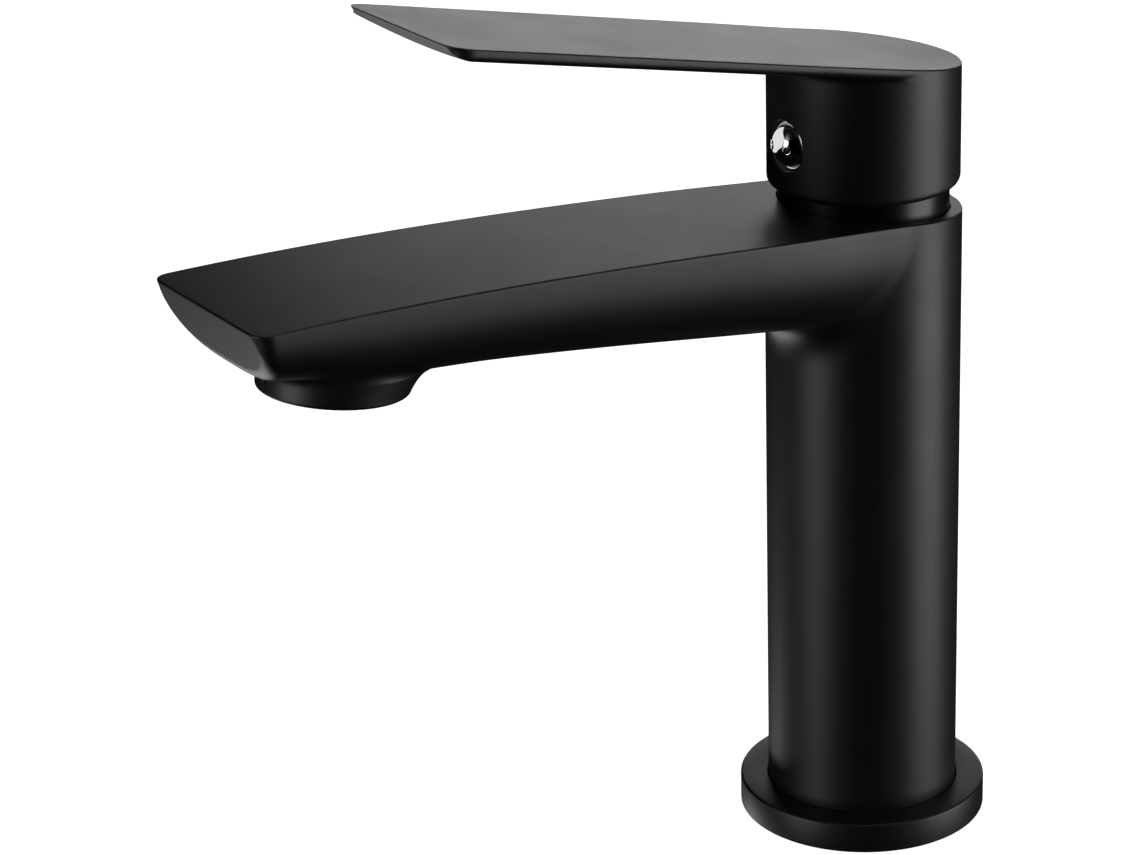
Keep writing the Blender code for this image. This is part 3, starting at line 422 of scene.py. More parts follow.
def mesh_object(name, patches, material, body, mirror, smooth_angle):
    """One closed piece from grids of points shaped (rows, columns, 3); mirror adds the -X half."""
    points, faces, base = [], [], 0
    for patch in patches:
        rows, columns = patch.shape[:2]
        flat = patch.reshape(-1, 3)
        index = base + np.arange(rows * columns).reshape(rows, columns)
        quads = np.stack(
            [index[:-1, :-1], index[:-1, 1:], index[1:, 1:], index[1:, :-1]], axis=-1
        ).reshape(-1, 4)
        points.append(flat)
        faces.append(quads)
        base += len(flat)
        if mirror:
            points.append(flat * np.array([-1.0, 1, 1]))
            faces.append(quads[:, ::-1] + len(flat))
            base += len(flat)
    mesh = bpy.data.meshes.new(name)
    mesh.from_pydata(np.concatenate(points).tolist(), [], np.concatenate(faces).tolist())
    shape = bmesh.new()
    shape.from_mesh(mesh)
    bmesh.ops.remove_doubles(shape, verts=shape.verts, dist=0.004 * MM)
    bmesh.ops.dissolve_degenerate(shape, edges=shape.edges, dist=0.002 * MM)
    bmesh.ops.recalc_face_normals(shape, faces=shape.faces)
    shape.to_mesh(mesh)
    shape.free()
    mesh.shade_smooth()
    if smooth_angle is not None:
        mesh.set_sharp_from_angle(angle=math.radians(smooth_angle))
    obj = bpy.data.objects.new(name, mesh)
    bpy.context.scene.collection.objects.link(obj)
    mesh.materials.append(material)
    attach(obj, body)
    return obj


def piece(node, patches, finish, body, mirror=False, smooth_angle=None):
    """A finished piece in the place of a node, named after it."""
    made = mesh_object(node + "_form", patches, finish, body, mirror, smooth_angle)
    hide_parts(node)
    return made


# ---------------------------------------------------------------- a beam with a round column
def beam_skin(side, top, radius, leaves, tip, ratio, across, collar_height, rows):
    """The skin of a flat-topped beam along -Y with a round column hanging from its end at the axis.

    leaves lists (reach, lean, anchor depth, end) from the seam to the tip. tip holds the length,
    the end face's lean, its anchor depth and its roundings: in plan at the top, lower down, and
    the depth over which one becomes the other. Returns the grids and the rim's inset line.
    """
    spout = np.array([
        leaf_curve(side, top, at, lean, anchor, end, across, ratio)
        for at, lean, anchor, end in leaves
    ])
    rim = np.array([rim_point(side, top, entry[0]) for entry in leaves])
    length, rake, anchor, plan_round, low_round, plan_depth = tip
    outline = leaf_curve(side, top, length, rake, anchor, None, across, ratio)
    sharp = np.concatenate([rim_point(side, top, length)[None], outline])
    depth = sharp[0, 2] - sharp[:, 2]
    rounding = mix(plan_round, low_round, ease(depth / plan_depth))[:, None]
    normal = outward(side, sharp)
    normal[:2] = (1, 0, 0)
    face_normal = np.array([0.0, -1, -rake]) / math.hypot(1, rake)
    inward = normal - (normal @ face_normal)[:, None] * face_normal
    inward /= np.linalg.norm(inward, axis=1)[:, None]
    on_side = sharp + np.array([0.0, 1, 0]) * rounding
    on_side[:, 2] = top(-on_side[:, 1]) - depth
    on_side[2:] = descent(side, on_side[2:], axes=(0, 2))
    on_face = sharp - inward * rounding
    on_side[-1, 0] = sharp[-1, 0] = on_face[-1, 0] = 0.0
    tip_band = conic(on_side, sharp, on_face, TIP_ROWS)
    side_rows = np.concatenate([spout, tip_band[:, 1:]])

    face_edge = tip_band[-1]
    middle = face_edge.copy()
    middle[:, 0] = 0.0
    middle[:, 1] = -length + rake * (sharp[0, 2] - face_edge[:, 2])
    face = between(face_edge, middle, END_ROWS, 1.8)

    around = np.linspace(0, math.pi / 2, REAR_POINTS)
    rear = np.stack([radius * np.sin(around), radius * np.cos(around), 0 * around], 1)
    marks = np.linspace(0, leaves[0][0], FLANK_POINTS)
    flank = np.array([rim_point(side, top, at) for at in marks[1:-1]])
    rear_rim = np.concatenate([rear, flank])
    rear_rim[:, 2] = top(-rear_rim[:, 1])
    rear_side = rear_rim - np.array([0, 0, RIM_ROUND])
    full_rim = np.concatenate([rear_rim, rim, tip_band[:, 0], face[1:, 0]])
    full_rim[:, 2] = top(-full_rim[:, 1])
    full_side = np.concatenate([rear_side, side_rows[:, 0], face[1:, 1]])
    inner = inset_plan(full_rim, RIM_ROUND)
    inner[:, 2] = top(-inner[:, 1])
    rim_band = conic(full_side, full_rim, inner, RIM_ROWS)

    hang = np.concatenate([rear_side, side_rows[0]])
    turn = np.interp(
        np.arange(len(hang)), [0, len(rear) - 1, len(hang) - 1], [0, math.pi / 2, math.pi]
    )
    collar = np.stack([radius * np.sin(turn), radius * np.cos(turn), 0 * turn + collar_height], 1)
    t = np.linspace(0, 1, rows)[:, None, None]
    swing = np.sin(t * math.pi / 2)
    column = np.concatenate(
        [
            hang[None, :, :2] * (1 - swing) + collar[None, :, :2] * swing,
            hang[None, :, 2:] * (1 - t) + collar[None, :, 2:] * t,
        ],
        axis=-1,
    )
    column[1:-1] = descent(side, column[1:-1])
    column[:, 0, 0] = column[:, -1, 0] = 0.0
    column = relaxed(side, column, RELAX_ROUNDS)
    return [side_rows, rim_band, face[:, 1:], column], inner, collar, len(rear)


def supported(first, last, count):
    """Straight rows from first to last with one extra row close to the first."""
    margin = 0.25 * MM
    gap = last - first
    size = np.maximum(np.linalg.norm(gap, axis=-1), margin)[:, None]
    return np.concatenate([first[None], between(first + gap * margin / size, last, count)])


# ---------------------------------------------------------------- the body
def body_patches():
    """The body: spout, column, top face, outlet with its bore, the cap's bore and the hose hollow.

    Sections within the outlet's width stop at a point on the outlet's rim.
    """
    center, up, back = outlet_axes()
    outlet_lean = -math.tan(OUTLET_TILT)
    angle = np.linspace(0, math.pi, ARC_POINTS)

    def ring_at(height, radius):
        """Half a circle about the outlet's axis, at a height above its rim."""
        return (
            center
            + up * height
            + back * (radius * np.cos(angle))[:, None]
            + np.array([1.0, 0, 0]) * (radius * np.sin(angle))[:, None]
        )

    wall_radius = outlet_radius(OUTLET_LIP, np.cos(angle))
    lip_start = ring_at(OUTLET_LIP, wall_radius)
    ring_reach = -lip_start[:, 1]
    for _ in range(20):
        ring_reach = -lip_start[:, 1] + outlet_lean * (body_top(ring_reach) - lip_start[:, 2])
    ring_depth = body_top(ring_reach) - lip_start[:, 2]

    def anchor(reach):
        """Depth of the point that a section's rays start from."""
        return 0.45 * float(smooth_through(SPOUT_DEPTHS, max(reach, COLUMN_RADIUS)))

    rear = np.linspace(BODY_SEAM, ring_reach[0], 50)
    lean = mix(BODY_SEAM_LEAN, outlet_lean, ease((rear - rear[0]) / (rear[-1] - rear[0])))
    leaves = [(at, tilt, anchor(at), None) for at, tilt in zip(rear[:-1], lean[:-1])]
    leaves += [
        (at, outlet_lean, anchor(at), (x, depth))
        for at, x, depth in zip(ring_reach, lip_start[:, 0], ring_depth)
    ]
    front = np.linspace(ring_reach[-1], SPOUT_LENGTH, 16)
    lean = mix(outlet_lean, TIP_RAKE, ease(np.linspace(0, 1, 16)))
    last = SPOUT_LENGTH - TIP_PLAN_ROUND - FIT
    leaves += [(at, tilt, anchor(at), None) for at, tilt in zip(front[1:], lean[1:]) if at < last]
    tip = (SPOUT_LENGTH, TIP_RAKE, anchor(SPOUT_LENGTH), TIP_PLAN_ROUND, TIP_ROUND, TIP_PLAN_DEPTH)
    skin, inner, collar, rear_count = beam_skin(
        body_side, body_top, COLUMN_RADIUS, leaves, tip, 1.0, 64, COLLAR_HEIGHT, 44
    )

    bore = CAP_RADIUS + FIT
    length = np.concatenate([[0], np.cumsum(np.linalg.norm(np.diff(inner, axis=0), axis=1))])
    side_mark = length[rear_count]
    front_mark = side_mark + 18 * MM
    turn = np.interp(length, [0, side_mark, front_mark], [0, math.pi / 2, math.pi])
    ring = np.stack([bore * np.sin(turn), bore * np.cos(turn), 0 * turn], 1)
    past = turn >= math.pi - 1e-9
    ring[past, 0] = 0.0
    ring[past, 1] = -np.interp(length[past], [length[past][0], length[-1]], [bore, -inner[-1, 1]])
    face = supported(inner, ring, TOP_ROWS)
    face[..., 2] = body_top(-face[..., 1])

    edge = np.concatenate([ring[~past], ring[past][:1]])
    edge[-1] = (0.0, -bore, body_top(bore))
    ring_seat = edge.copy()
    ring_seat[:, 2] = CAP_SEAT - FIT
    share = CHAMBER_RADIUS / bore
    chamber_top = ring_seat * np.array([share, share, 1])
    chamber_floor = chamber_top * np.array([1, 1, 0]) + np.array([0, 0, CHAMBER_FLOOR])
    chamber = [
        between(edge, ring_seat, 6),
        between(ring_seat, chamber_top, 3),
        between(chamber_top, chamber_floor, 8),
        between(chamber_floor, chamber_floor * np.array([0, 0, 1.0]), 4),
    ]

    foot = collar * np.array([1, 1, 0]) + np.array([0, 0, COLUMN_FOOT + FOOT_ROUND])
    shrink = 1 - FOOT_ROUND / COLUMN_RADIUS
    toe = foot * np.array([shrink, shrink, 1]) - np.array([0, 0, FOOT_ROUND])
    share = HOLLOW_RADIUS / COLUMN_RADIUS / shrink
    hollow = toe * np.array([share, share, 1])
    ceiling = hollow * np.array([1, 1, 0]) + np.array([0, 0, HOLLOW_CEILING])
    below = [
        between(collar, foot, 34),
        between(foot, toe, 2),
        between(toe, hollow, 4),
        between(hollow, ceiling, 12),
        between(ceiling, ceiling * np.array([0, 0, 1.0]), 6),
    ]

    mouth = ring_at(0.0, OUTLET_BORE + BORE_ROUND)
    wall = ring_at(BORE_ROUND, OUTLET_BORE)
    roof = ring_at(OUTLET_BORE_DEPTH, OUTLET_BORE)
    lip_inner = ring_at(0.0, wall_radius - OUTLET_LIP)
    outlet = [
        conic(lip_start, ring_at(0.0, wall_radius), lip_inner, 8),
        between(lip_inner, mouth, 4),
        conic(mouth, ring_at(0.0, OUTLET_BORE), wall, 5),
        between(wall, roof, 10),
        between(roof, ring_at(OUTLET_BORE_DEPTH, 0.0), 5),
    ]
    return [*skin, face, *chamber, *below, *outlet]


# ---------------------------------------------------------------- the lever
def lever_top(reach):
    """Height of the lever's top face: a line that climbs to the tip, and a slight lift at the back."""
    back = np.maximum(LEVER_BACK_START - reach, 0.0)
    return LEVER_TOP_HEIGHT + LEVER_SLOPE * reach + LEVER_BACK_CURVE * back ** 2


def lever_side(p):
    """Signed distance, about, to the lever's side and underside and to its round skirt, blended."""
    x, y, z = p[..., 0], p[..., 1], p[..., 2]
    reach = -y
    radial = np.maximum(np.hypot(x, y), 1e-9)
    skirt = radial - SKIRT_RADIUS
    share = np.clip(reach / LEVER_LENGTH, 0.0, 1.0)
    width = mix(SKIRT_RADIUS, LEVER_HALF_WIDTH, ease(share * 4))
    depth = np.maximum(lever_top(reach) - z, 0.0)
    crown = mix(LEVER_ROOT_CROWN, LEVER_TIP_CROWN, ease(share))
    across = np.clip(np.abs(x) / width, 0.0, 1.0)
    edge = mix(LEVER_ROOT_EDGE, LEVER_TIP_EDGE, ease(share))
    floor = depth - edge - crown * (1 - across * across)
    wall = np.abs(x) - width
    beam = -soft_union(-wall, -floor, LEVER_UNDER_ROUND)
    beam = np.maximum(beam, -reach)
    upright = np.where(wall > floor, np.abs(x) / radial, 0.0)
    return soft_union(skirt, beam, SKIRT_BLEND * np.clip(1 - upright, 0.03, 1.0))


def lever_patches():
    """The lever: flat plate with a crowned underside over a round skirt, hollow from below."""
    def anchor(reach):
        """Depth of the point that a section's rays start from."""
        along = float(ease(reach / LEVER_LENGTH))
        crown = mix(LEVER_ROOT_CROWN, LEVER_TIP_CROWN, along)
        return 0.5 * (mix(LEVER_ROOT_EDGE, LEVER_TIP_EDGE, along) + 0.3 * crown)

    reaches = np.linspace(LEVER_SEAM, LEVER_LENGTH - LEVER_PLAN_ROUND - FIT, 70)
    share = (reaches - LEVER_SEAM) / (LEVER_LENGTH - LEVER_SEAM)
    leaves = [(at, LEVER_TIP_RAKE * s ** 6, anchor(at), None) for at, s in zip(reaches, share)]
    tip = (
        LEVER_LENGTH, LEVER_TIP_RAKE, anchor(LEVER_LENGTH),
        LEVER_PLAN_ROUND, LEVER_LOW_ROUND, LEVER_PLAN_DEPTH,
    )
    skin, inner, collar, _ = beam_skin(
        lever_side, lever_top, SKIRT_RADIUS, leaves, tip, LEVER_FAN, 56, SKIRT_COLLAR, 30
    )
    length = np.concatenate([[0], np.cumsum(np.linalg.norm(np.diff(inner, axis=0), axis=1))])
    spine = np.zeros_like(inner)
    spine[:, 1] = np.interp(length, [0, length[-1]], [inner[0, 1], inner[-1, 1]])
    spine[:, 2] = lever_top(-spine[:, 1])
    face = supported(inner, spine, TOP_ROWS)
    bottom_start = collar * np.array([1, 1, 0]) + np.array([0, 0, SKIRT_BOTTOM + SKIRT_EDGE_ROUND])
    corner = bottom_start - np.array([0, 0, SKIRT_EDGE_ROUND])
    shrink = 1 - SKIRT_EDGE_ROUND / SKIRT_RADIUS
    bottom_end = corner * np.array([shrink, shrink, 1])
    share = (SKIRT_RADIUS - SKIRT_WALL) / SKIRT_RADIUS
    inner_edge = corner * np.array([share, share, 1])
    ceiling = inner_edge * np.array([1, 1, 0]) + np.array([0, 0, SKIRT_CEILING])
    below = [
        between(collar, bottom_start, 8),
        conic(bottom_start, corner, bottom_end, 8),
        between(bottom_end, inner_edge, 2),
        between(inner_edge, ceiling, 8),
        between(ceiling, ceiling * np.array([0, 0, 1.0]), 5),
    ]
    return [*skin, face, *below]


def bore_front(obj, radius, height, bore, depth):
    """Sinks a round, flat-floored bore with a soft edge into the front of a round skirt.

    Faces near the bore go. Each corner of the opening they leave is joined to the point of the
    bore's edge at its own angle, which lies on the skirt: y = -sqrt(radius^2 - x^2).
    """
    edge_round, margin, band = 0.2 * MM, 0.9 * MM, 0.3 * MM
    shape = bmesh.new()
    shape.from_mesh(obj.data)
    near = [
        f for f in shape.faces
        if all(v.co.y < 0 and abs(math.hypot(v.co.x, v.co.y) - radius) < band for v in f.verts)
        and min(math.hypot(v.co.x, v.co.z - height) for v in f.verts) < bore + margin
    ]
    bmesh.ops.delete(shape, geom=near, context="FACES")
    ring = {v for e in shape.edges if e.is_boundary for v in e.verts}
    loop = sorted(ring, key=lambda v: math.atan2(v.co.z - height, v.co.x))
    floor_at = -(radius - depth)

    def circle(size, inset):
        """New points at one distance from the bore's axis, on the skirt or on the bore's floor."""
        made = []
        for v in loop:
            angle = math.atan2(v.co.z - height, v.co.x)
            x, z = size * math.cos(angle), height + size * math.sin(angle)
            y = floor_at if inset is None else -math.sqrt(radius ** 2 - x * x) + inset
            made.append(shape.verts.new((x, y, z)))
        return made

    rows = [loop, circle(bore + edge_round + 0.15 * MM, 0.0)]
    for turn in np.linspace(0, math.pi / 2, 5):
        rows.append(circle(
            bore + edge_round * (1 - math.sin(turn)), edge_round * (1 - math.cos(turn))
        ))
    rows.append(circle(bore, None))
    center = shape.verts.new((0, floor_at, height))
    count = len(loop)
    for first, second in zip(rows, rows[1:]):
        for k in range(count):
            shape.faces.new((first[k], first[(k + 1) % count], second[(k + 1) % count], second[k]))
    for k in range(count):
        shape.faces.new((rows[-1][k], rows[-1][(k + 1) % count], center))
    bmesh.ops.recalc_face_normals(shape, faces=shape.faces)
    for f in shape.faces:
        f.smooth = True
    shape.to_mesh(obj.data)
    shape.free()


# ---------------------------------------------------------------- turned and threaded pieces
def softened(outline, steps=5):
    """A (radius, height, round) outline with each corner of non-zero round drawn as a small arc."""
    points = []
    count = len(outline)
    for k in range(count):
        r, z, round_ = outline[k]
        here = np.array([r, z])
        if not round_:
            points.append(here)
            continue
        before = np.array(outline[k - 1][:2]) - here
        after = np.array(outline[(k + 1) % count][:2]) - here
        start = here + before / np.linalg.norm(before) * round_
        end = here + after / np.linalg.norm(after) * round_
        for t in np.linspace(0, 1, steps):
            a, b, c = (1 - t) ** 2, 2 * CONIC_WEIGHT * t * (1 - t), t * t
            points.append((a * start + b * here + c * end) / (a + b + c))
    return np.array(points)


def spun(outline, place=None, steps=96):
    """The grid of a closed (radius, height) outline turned about an axis: r cos a, r sin a, z."""
    line = np.concatenate([outline, outline[:1]])
    angle = np.linspace(0, 2 * math.pi, steps + 1)
    grid = np.stack([
        line[:, None, 0] * np.cos(angle),
        line[:, None, 0] * np.sin(angle),
        line[:, None, 1] + 0 * angle,
    ], axis=-1)
    if place is not None:
        turn = np.array(place)[:3, :3]
        grid = grid @ turn.T + np.array(place)[:3, 3]
    return grid


def turned_piece(node, outline, finish, body, place=None, steps=96):
    """A piece turned from a (radius, height, round) outline."""
    piece(node, [spun(softened(outline), place, steps)], finish, body, smooth_angle=TURNED_ANGLE)


def frame_at(point, axis):
    """A frame whose Z runs along an axis from a point."""
    turn = Vector(axis).normalized().to_track_quat("Z", "Y").to_matrix().to_4x4()
    return Matrix.Translation(Vector(point)) @ turn


def helix_rod(radius, depth, pitch, bottom, top, chamfer, steps=32, per_turn=14):
    """A threaded rod: its radius is R - depth (1 - wave), where wave is |2 phase - 1|.

    The phase is the fraction of height / pitch - angle / 2 pi. The wave is stretched past its
    ends and clipped, which flattens crests and roots. The thread fades into a cone over the
    chamfer at both ends.
    """
    stretch, shift, cone_depth = 1.25, 0.12, 1.2 * depth
    rows = int((top - bottom) / pitch * per_turn)
    height = np.linspace(bottom, top, rows)
    angle = np.linspace(0, 2 * math.pi, steps + 1)
    phase = (height[:, None] / pitch - angle / (2 * math.pi)) % 1.0
    wave = np.clip(np.abs(phase * 2 - 1) * stretch - shift, 0.0, 1.0)
    reach = radius - depth * (1 - wave)
    near = np.minimum(height - bottom, top - height)[:, None]
    cone = radius - cone_depth + near * (cone_depth / chamfer)
    reach = np.minimum(reach, cone)
    grid = np.stack([reach * np.cos(angle), reach * np.sin(angle), height[:, None] + 0 * angle], -1)
    first, last = grid[:1].copy(), grid[-1:].copy()
    first[..., :2] = 0.0
    last[..., :2] = 0.0
    return np.concatenate([first, grid, last])


def hex_nut(across_flats, bore, bottom, top, chamfer, steps=144):
    """A hexagon nut: the flats' polar outline, cut back by a cone at both ends, and its bore."""
    angle = np.linspace(0, 2 * math.pi, steps + 1)
    sector = (angle + math.pi / 6) % (math.pi / 3) - math.pi / 6
    flat = across_flats / 2 / np.cos(sector)
    cone_start, cone_slope = across_flats / 2 * 0.985, 1.9
    heights = np.concatenate([
        bottom + np.linspace(0, chamfer, 6),
        np.linspace(bottom + chamfer, top - chamfer, 4)[1:-1],
        top - np.linspace(chamfer, 0, 6),
    ])
    from_end = np.minimum(heights - bottom, top - heights)
    outside = np.minimum(flat, (cone_start + from_end * cone_slope)[:, None])
    inside = bore + np.array([NUT_BORE_CHAMFER, 0, 0, NUT_BORE_CHAMFER])[:, None] + 0 * angle
    radii = np.concatenate([inside[:1], outside, inside])
    ends = [top, top - NUT_BORE_CHAMFER, bottom + NUT_BORE_CHAMFER, bottom]
    levels = np.concatenate([[bottom], heights, ends])
    return np.stack([radii * np.cos(angle), radii * np.sin(angle), levels[:, None] + 0 * angle], -1)


def horseshoe(radius, slot, end, steps=90):
    """Outer arc and slot edge of a horseshoe open to -Y, matched point for point."""
    turn = math.asin(slot / radius)
    a = np.linspace(-math.pi / 2 + turn, 3 * math.pi / 2 - turn, steps)
    outer = np.stack([radius * np.cos(a), radius * np.sin(a)], 1)
    mouth, bend = -radius * math.cos(turn), end - slot
    straight, around = bend - mouth, math.pi * slot
    travel = np.linspace(0, 2 * straight + around, steps)
    b = np.clip((travel - straight) / slot, 0, math.pi)
    past = np.maximum(travel - straight - around, 0)
    inner = np.stack([slot * np.cos(b), bend + slot * np.sin(b)], 1)
    inner[:, 1] += np.minimum(travel, straight) - straight - past
    return outer, inner


def horseshoe_plate(node, slot, end, edge, finish):
    """A horseshoe washer: its outline swept through a quarter round at each rim, and ruled faces."""
    low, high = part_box(node)
    radius = high[0]
    rows = []
    lower, upper = np.linspace(0, math.pi / 2, 6), np.linspace(math.pi / 2, math.pi, 6)
    for turn in np.concatenate([lower, upper]):
        back = edge * (1 - math.sin(turn))
        if turn <= math.pi / 2:
            level = low[2] + edge * (1 - math.cos(turn))
        else:
            level = high[2] - edge * (1 + math.cos(turn))
        outer, inner = horseshoe(radius - back, slot + back, end + back)
        loop = np.concatenate([outer, inner[::-1][1:]])
        rows.append(np.column_stack([loop, 0 * loop[:, 0] + level]))
    outer, inner = horseshoe(radius - edge, slot + edge, end + edge)
    share = np.linspace(0, 1, 10)[:, None, None]
    flat = outer * (1 - share) + inner * share
    under, over = (np.concatenate([flat, 0 * flat[..., :1] + at], -1) for at in (low[2], high[2]))
    patches = [np.array(rows), under, over[::-1]]
    piece(node, patches, finish, "root", smooth_angle=TURNED_ANGLE)


def make_foot(finish):
    """The foot ring: a stepped outline turned about the column's axis, with the seal's groove."""
    groove_out = SEAL_RADIUS + FIT
    groove_in = SEAL_RADIUS - SEAL_WIDTH - FIT
    groove = top_of("foot_seal") + FIT
    recess = COLUMN_RADIUS + 0.2 * MM
    turned_piece("foot_ring", [
        (recess, FOOT_HEIGHT, FOOT_LOW_ROUND), (FOOT_RADIUS, FOOT_HEIGHT, FOOT_EDGE_ROUND),
        (FOOT_RADIUS, 0, FOOT_LOW_ROUND), (groove_out, 0, 0), (groove_out, groove, 0),
        (groove_in, groove, 0), (groove_in, 0, 0), (HOLLOW_RADIUS, 0, FOOT_ROUND),
        (HOLLOW_RADIUS, FOOT_FLOOR, 0), (recess, FOOT_FLOOR, 0),
    ], finish, "root", steps=160)


def make_cap(finish):
    """The cap: a quarter ellipse from the opening to the wall, turned about the axis."""
    dome = [
        (
            mix(CAP_OPENING, CAP_RADIUS, math.sin(a)),
            mix(CAP_SHOULDER, CAP_TOP, math.cos(a)),
            0,
        )
        for a in np.linspace(0.0, math.pi / 2, 20)
    ]
    inner = CAP_RADIUS - CAP_WALL
    outline = [(CAP_OPENING, CAP_TOP - CAP_WALL, 0.3 * MM)] + dome + [
        (CAP_RADIUS, CAP_SEAT, 0.2 * MM), (inner, CAP_SEAT, 0),
        (inner, CAP_SHOULDER - 1.2 * MM, 0.5 * MM),
    ]
    turned_piece("dome_cap", outline, finish, "root", steps=144)


# ---------------------------------------------------------------- finishes
def linear(code):
    """Linear RGB of an sRGB hex colour."""
    parts = [int(code[k:k + 2], 16) / 255 for k in (1, 3, 5)]
    return [c / 12.92 if c <= 0.04045 else ((c + 0.055) / 1.055) ** 2.4 for c in parts] + [1.0]


def add_node(tree, kind, inputs=None, **settings):
    """A shader node with its settings, and each input set to a value or linked to a socket."""
    node = tree.nodes.new(kind)
    for key, value in settings.items():
        setattr(node, key, value)
    for key, value in (inputs or {}).items():
        if isinstance(value, bpy.types.NodeSocket):
            tree.links.new(value, node.inputs[key])
        else:
            node.inputs[key].default_value = value
    return node


DRIFT_MM = 12.0                     # size of the slow patches in a finish


def surface(
    name, code, rough, metal=0.0, grain_mm=0.3, grain=0.0, vary=0.06, tint=None,
    stretch=(1, 1, 1), ior=None, coat=0.0,
):
    """A Principled finish whose roughness wanders slowly and whose surface carries a fine grain.

    grain_mm is the grain's real size and grain its height in mm. The colour drifts towards the
    tint, and stretch squeezes the grain along an axis, as in turned or drawn metal.
    """
    material = bpy.data.materials.new(name)
    material.use_nodes = True
    tree = material.node_tree
    shader = tree.nodes["Principled BSDF"]
    place = add_node(tree, "ShaderNodeTexCoord").outputs["Object"]
    slow = add_node(tree, "ShaderNodeTexNoise", {
        "Vector": place, "Scale": 1 / (DRIFT_MM * MM), "Detail": 3.0,
    })
    span = add_node(tree, "ShaderNodeMapRange", {
        "Value": slow.outputs["Fac"], "From Min": 0.3, "From Max": 0.7,
        "To Min": rough * (1 - vary), "To Max": rough * (1 + vary),
    })
    tree.links.new(span.outputs["Result"], shader.inputs["Roughness"])
    if tint:
        drift = add_node(tree, "ShaderNodeMix", {
            "Factor": slow.outputs["Fac"], 6: linear(code), 7: linear(tint),
        }, data_type="RGBA")
        tree.links.new(drift.outputs[2], shader.inputs["Base Color"])
    else:
        shader.inputs["Base Color"].default_value = linear(code)
    if grain:
        squeezed = add_node(tree, "ShaderNodeMapping", {"Vector": place, "Scale": stretch})
        fine = add_node(tree, "ShaderNodeTexNoise", {
            "Vector": squeezed.outputs["Vector"], "Scale": 1 / (grain_mm * MM), "Detail": 2.0,
        })
        bump = add_node(tree, "ShaderNodeBump", {
            "Height": fine.outputs["Fac"], "Strength": 1.0, "Distance": grain * MM,
        })
        tree.links.new(bump.outputs["Normal"], shader.inputs["Normal"])
    shader.inputs["Metallic"].default_value = metal
    if ior:
        shader.inputs["IOR"].default_value = ior
    if coat:
        shader.inputs["Coat Weight"].default_value = coat
        shader.inputs["Coat Roughness"].default_value = 0.08
    return material


# Satin black paint over brass: smooth to the eye, with a faint peel that softens highlights.
BLACK = surface(
    "satin_black_paint", "#0a0a0b", 0.44, grain_mm=0.35, grain=0.003, vary=0.04,
    tint="#0c0c0d", ior=1.50,
)
# The cap's black with painted shade: its colour is darker than the body's to stand for the shade that
# falls on the neck under the skirt, with a finer grain and a little sharper.
CAP_BLACK_PAINTED_SHADE = surface(
    "cap_black_painted_shade", "#050506", 0.30, grain_mm=0.25, grain=0.002, vary=0.03,
    tint="#070708", ior=1.42,
)
# Mirror chrome on the indicator plug.
CHROME = surface("polished_chrome", "#e6e8ea", 0.05, metal=1.0, vary=0.3)
# Turned brass nut: warm, with fine lathe lines round the axis.
BRASS = surface(
    "turned_brass", "#c9a25e", 0.30, metal=1.0, grain_mm=0.5, grain=0.006,
    tint="#b98f4c", stretch=(1, 1, 8),
)
# Zinc-plated and stainless steel: cool grey with drawn lines.
STEEL = surface(
    "drawn_steel", "#b9bbbe", 0.32, metal=1.0, grain_mm=0.4, grain=0.005,
    tint="#a7a9ac", stretch=(1, 1, 6),
)
# Moulded rubber seals: dull and slightly dusty.
RUBBER = surface("moulded_rubber", "#1d1d1e", 0.72, grain_mm=0.5, grain=0.02, tint="#262627")
# Acetal inner parts: milky white with a soft sheen.
ACETAL = surface("white_acetal", "#e9e9e4", 0.38, grain_mm=0.8, grain=0.006, tint="#dddcd5")
# Glass-filled nylon housing: grey with a fleck.
NYLON = surface("grey_nylon", "#75787c", 0.45, grain_mm=0.4, grain=0.012, tint="#676a6e")
# Lapped alumina discs: off-white and glossy.
CERAMIC = surface(
    "lapped_alumina", "#eeebe2", 0.16, grain_mm=0.3, grain=0.002, tint="#e4e0d4", ior=1.76
)
# Red and near-black blue enamel in the indicator's two wells: a glossy, slightly domed fill.
RED = surface(
    "signal_red_enamel", "#b3121a", 0.25, grain_mm=0.4, grain=0.004, tint="#9c0f16", coat=0.6
)
BLUE = surface(
    "dark_blue_enamel", "#10182c", 0.25, grain_mm=0.4, grain=0.004, tint="#16213c", coat=0.6
)

CARRIED = {
    "turret": ACETAL, "pivot_pin": STEEL, "disc_carrier": ACETAL, "moving_disc": CERAMIC,
    "lever_stem": STEEL, "grub_screw": STEEL, "hot_dot": RED, "cold_dot": BLUE,
    "retaining_nut": BRASS, "cartridge_housing": NYLON, "cartridge_base": ACETAL,
    "hot_port_seal": RUBBER, "cold_port_seal": RUBBER, "mixed_port_seal": RUBBER,
    "fixed_disc": CERAMIC, "turret_seal": RUBBER, "aerator_shell": STEEL, "aerator_screen": STEEL,
    "aerator_insert": ACETAL, "aerator_washer": RUBBER, "foot_seal": RUBBER,
    "fixing_stud": STEEL, "horseshoe_gasket": RUBBER, "horseshoe_washer": STEEL,
    "fixing_nut": BRASS, "indicator_plug": CHROME,
}
for name, finish in CARRIED.items():
    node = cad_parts[name]
    node.data.materials.clear()
    node.data.materials.append(finish)

piece("body", body_patches(), BLACK, "root", mirror=True)
lever = piece("lever_handle", lever_patches(), BLACK, "handle_unit", mirror=True)
make_foot(BLACK)
# The cap's finish carries painted shade: a darker black for the shade under the skirt.
make_cap(CAP_BLACK_PAINTED_SHADE)


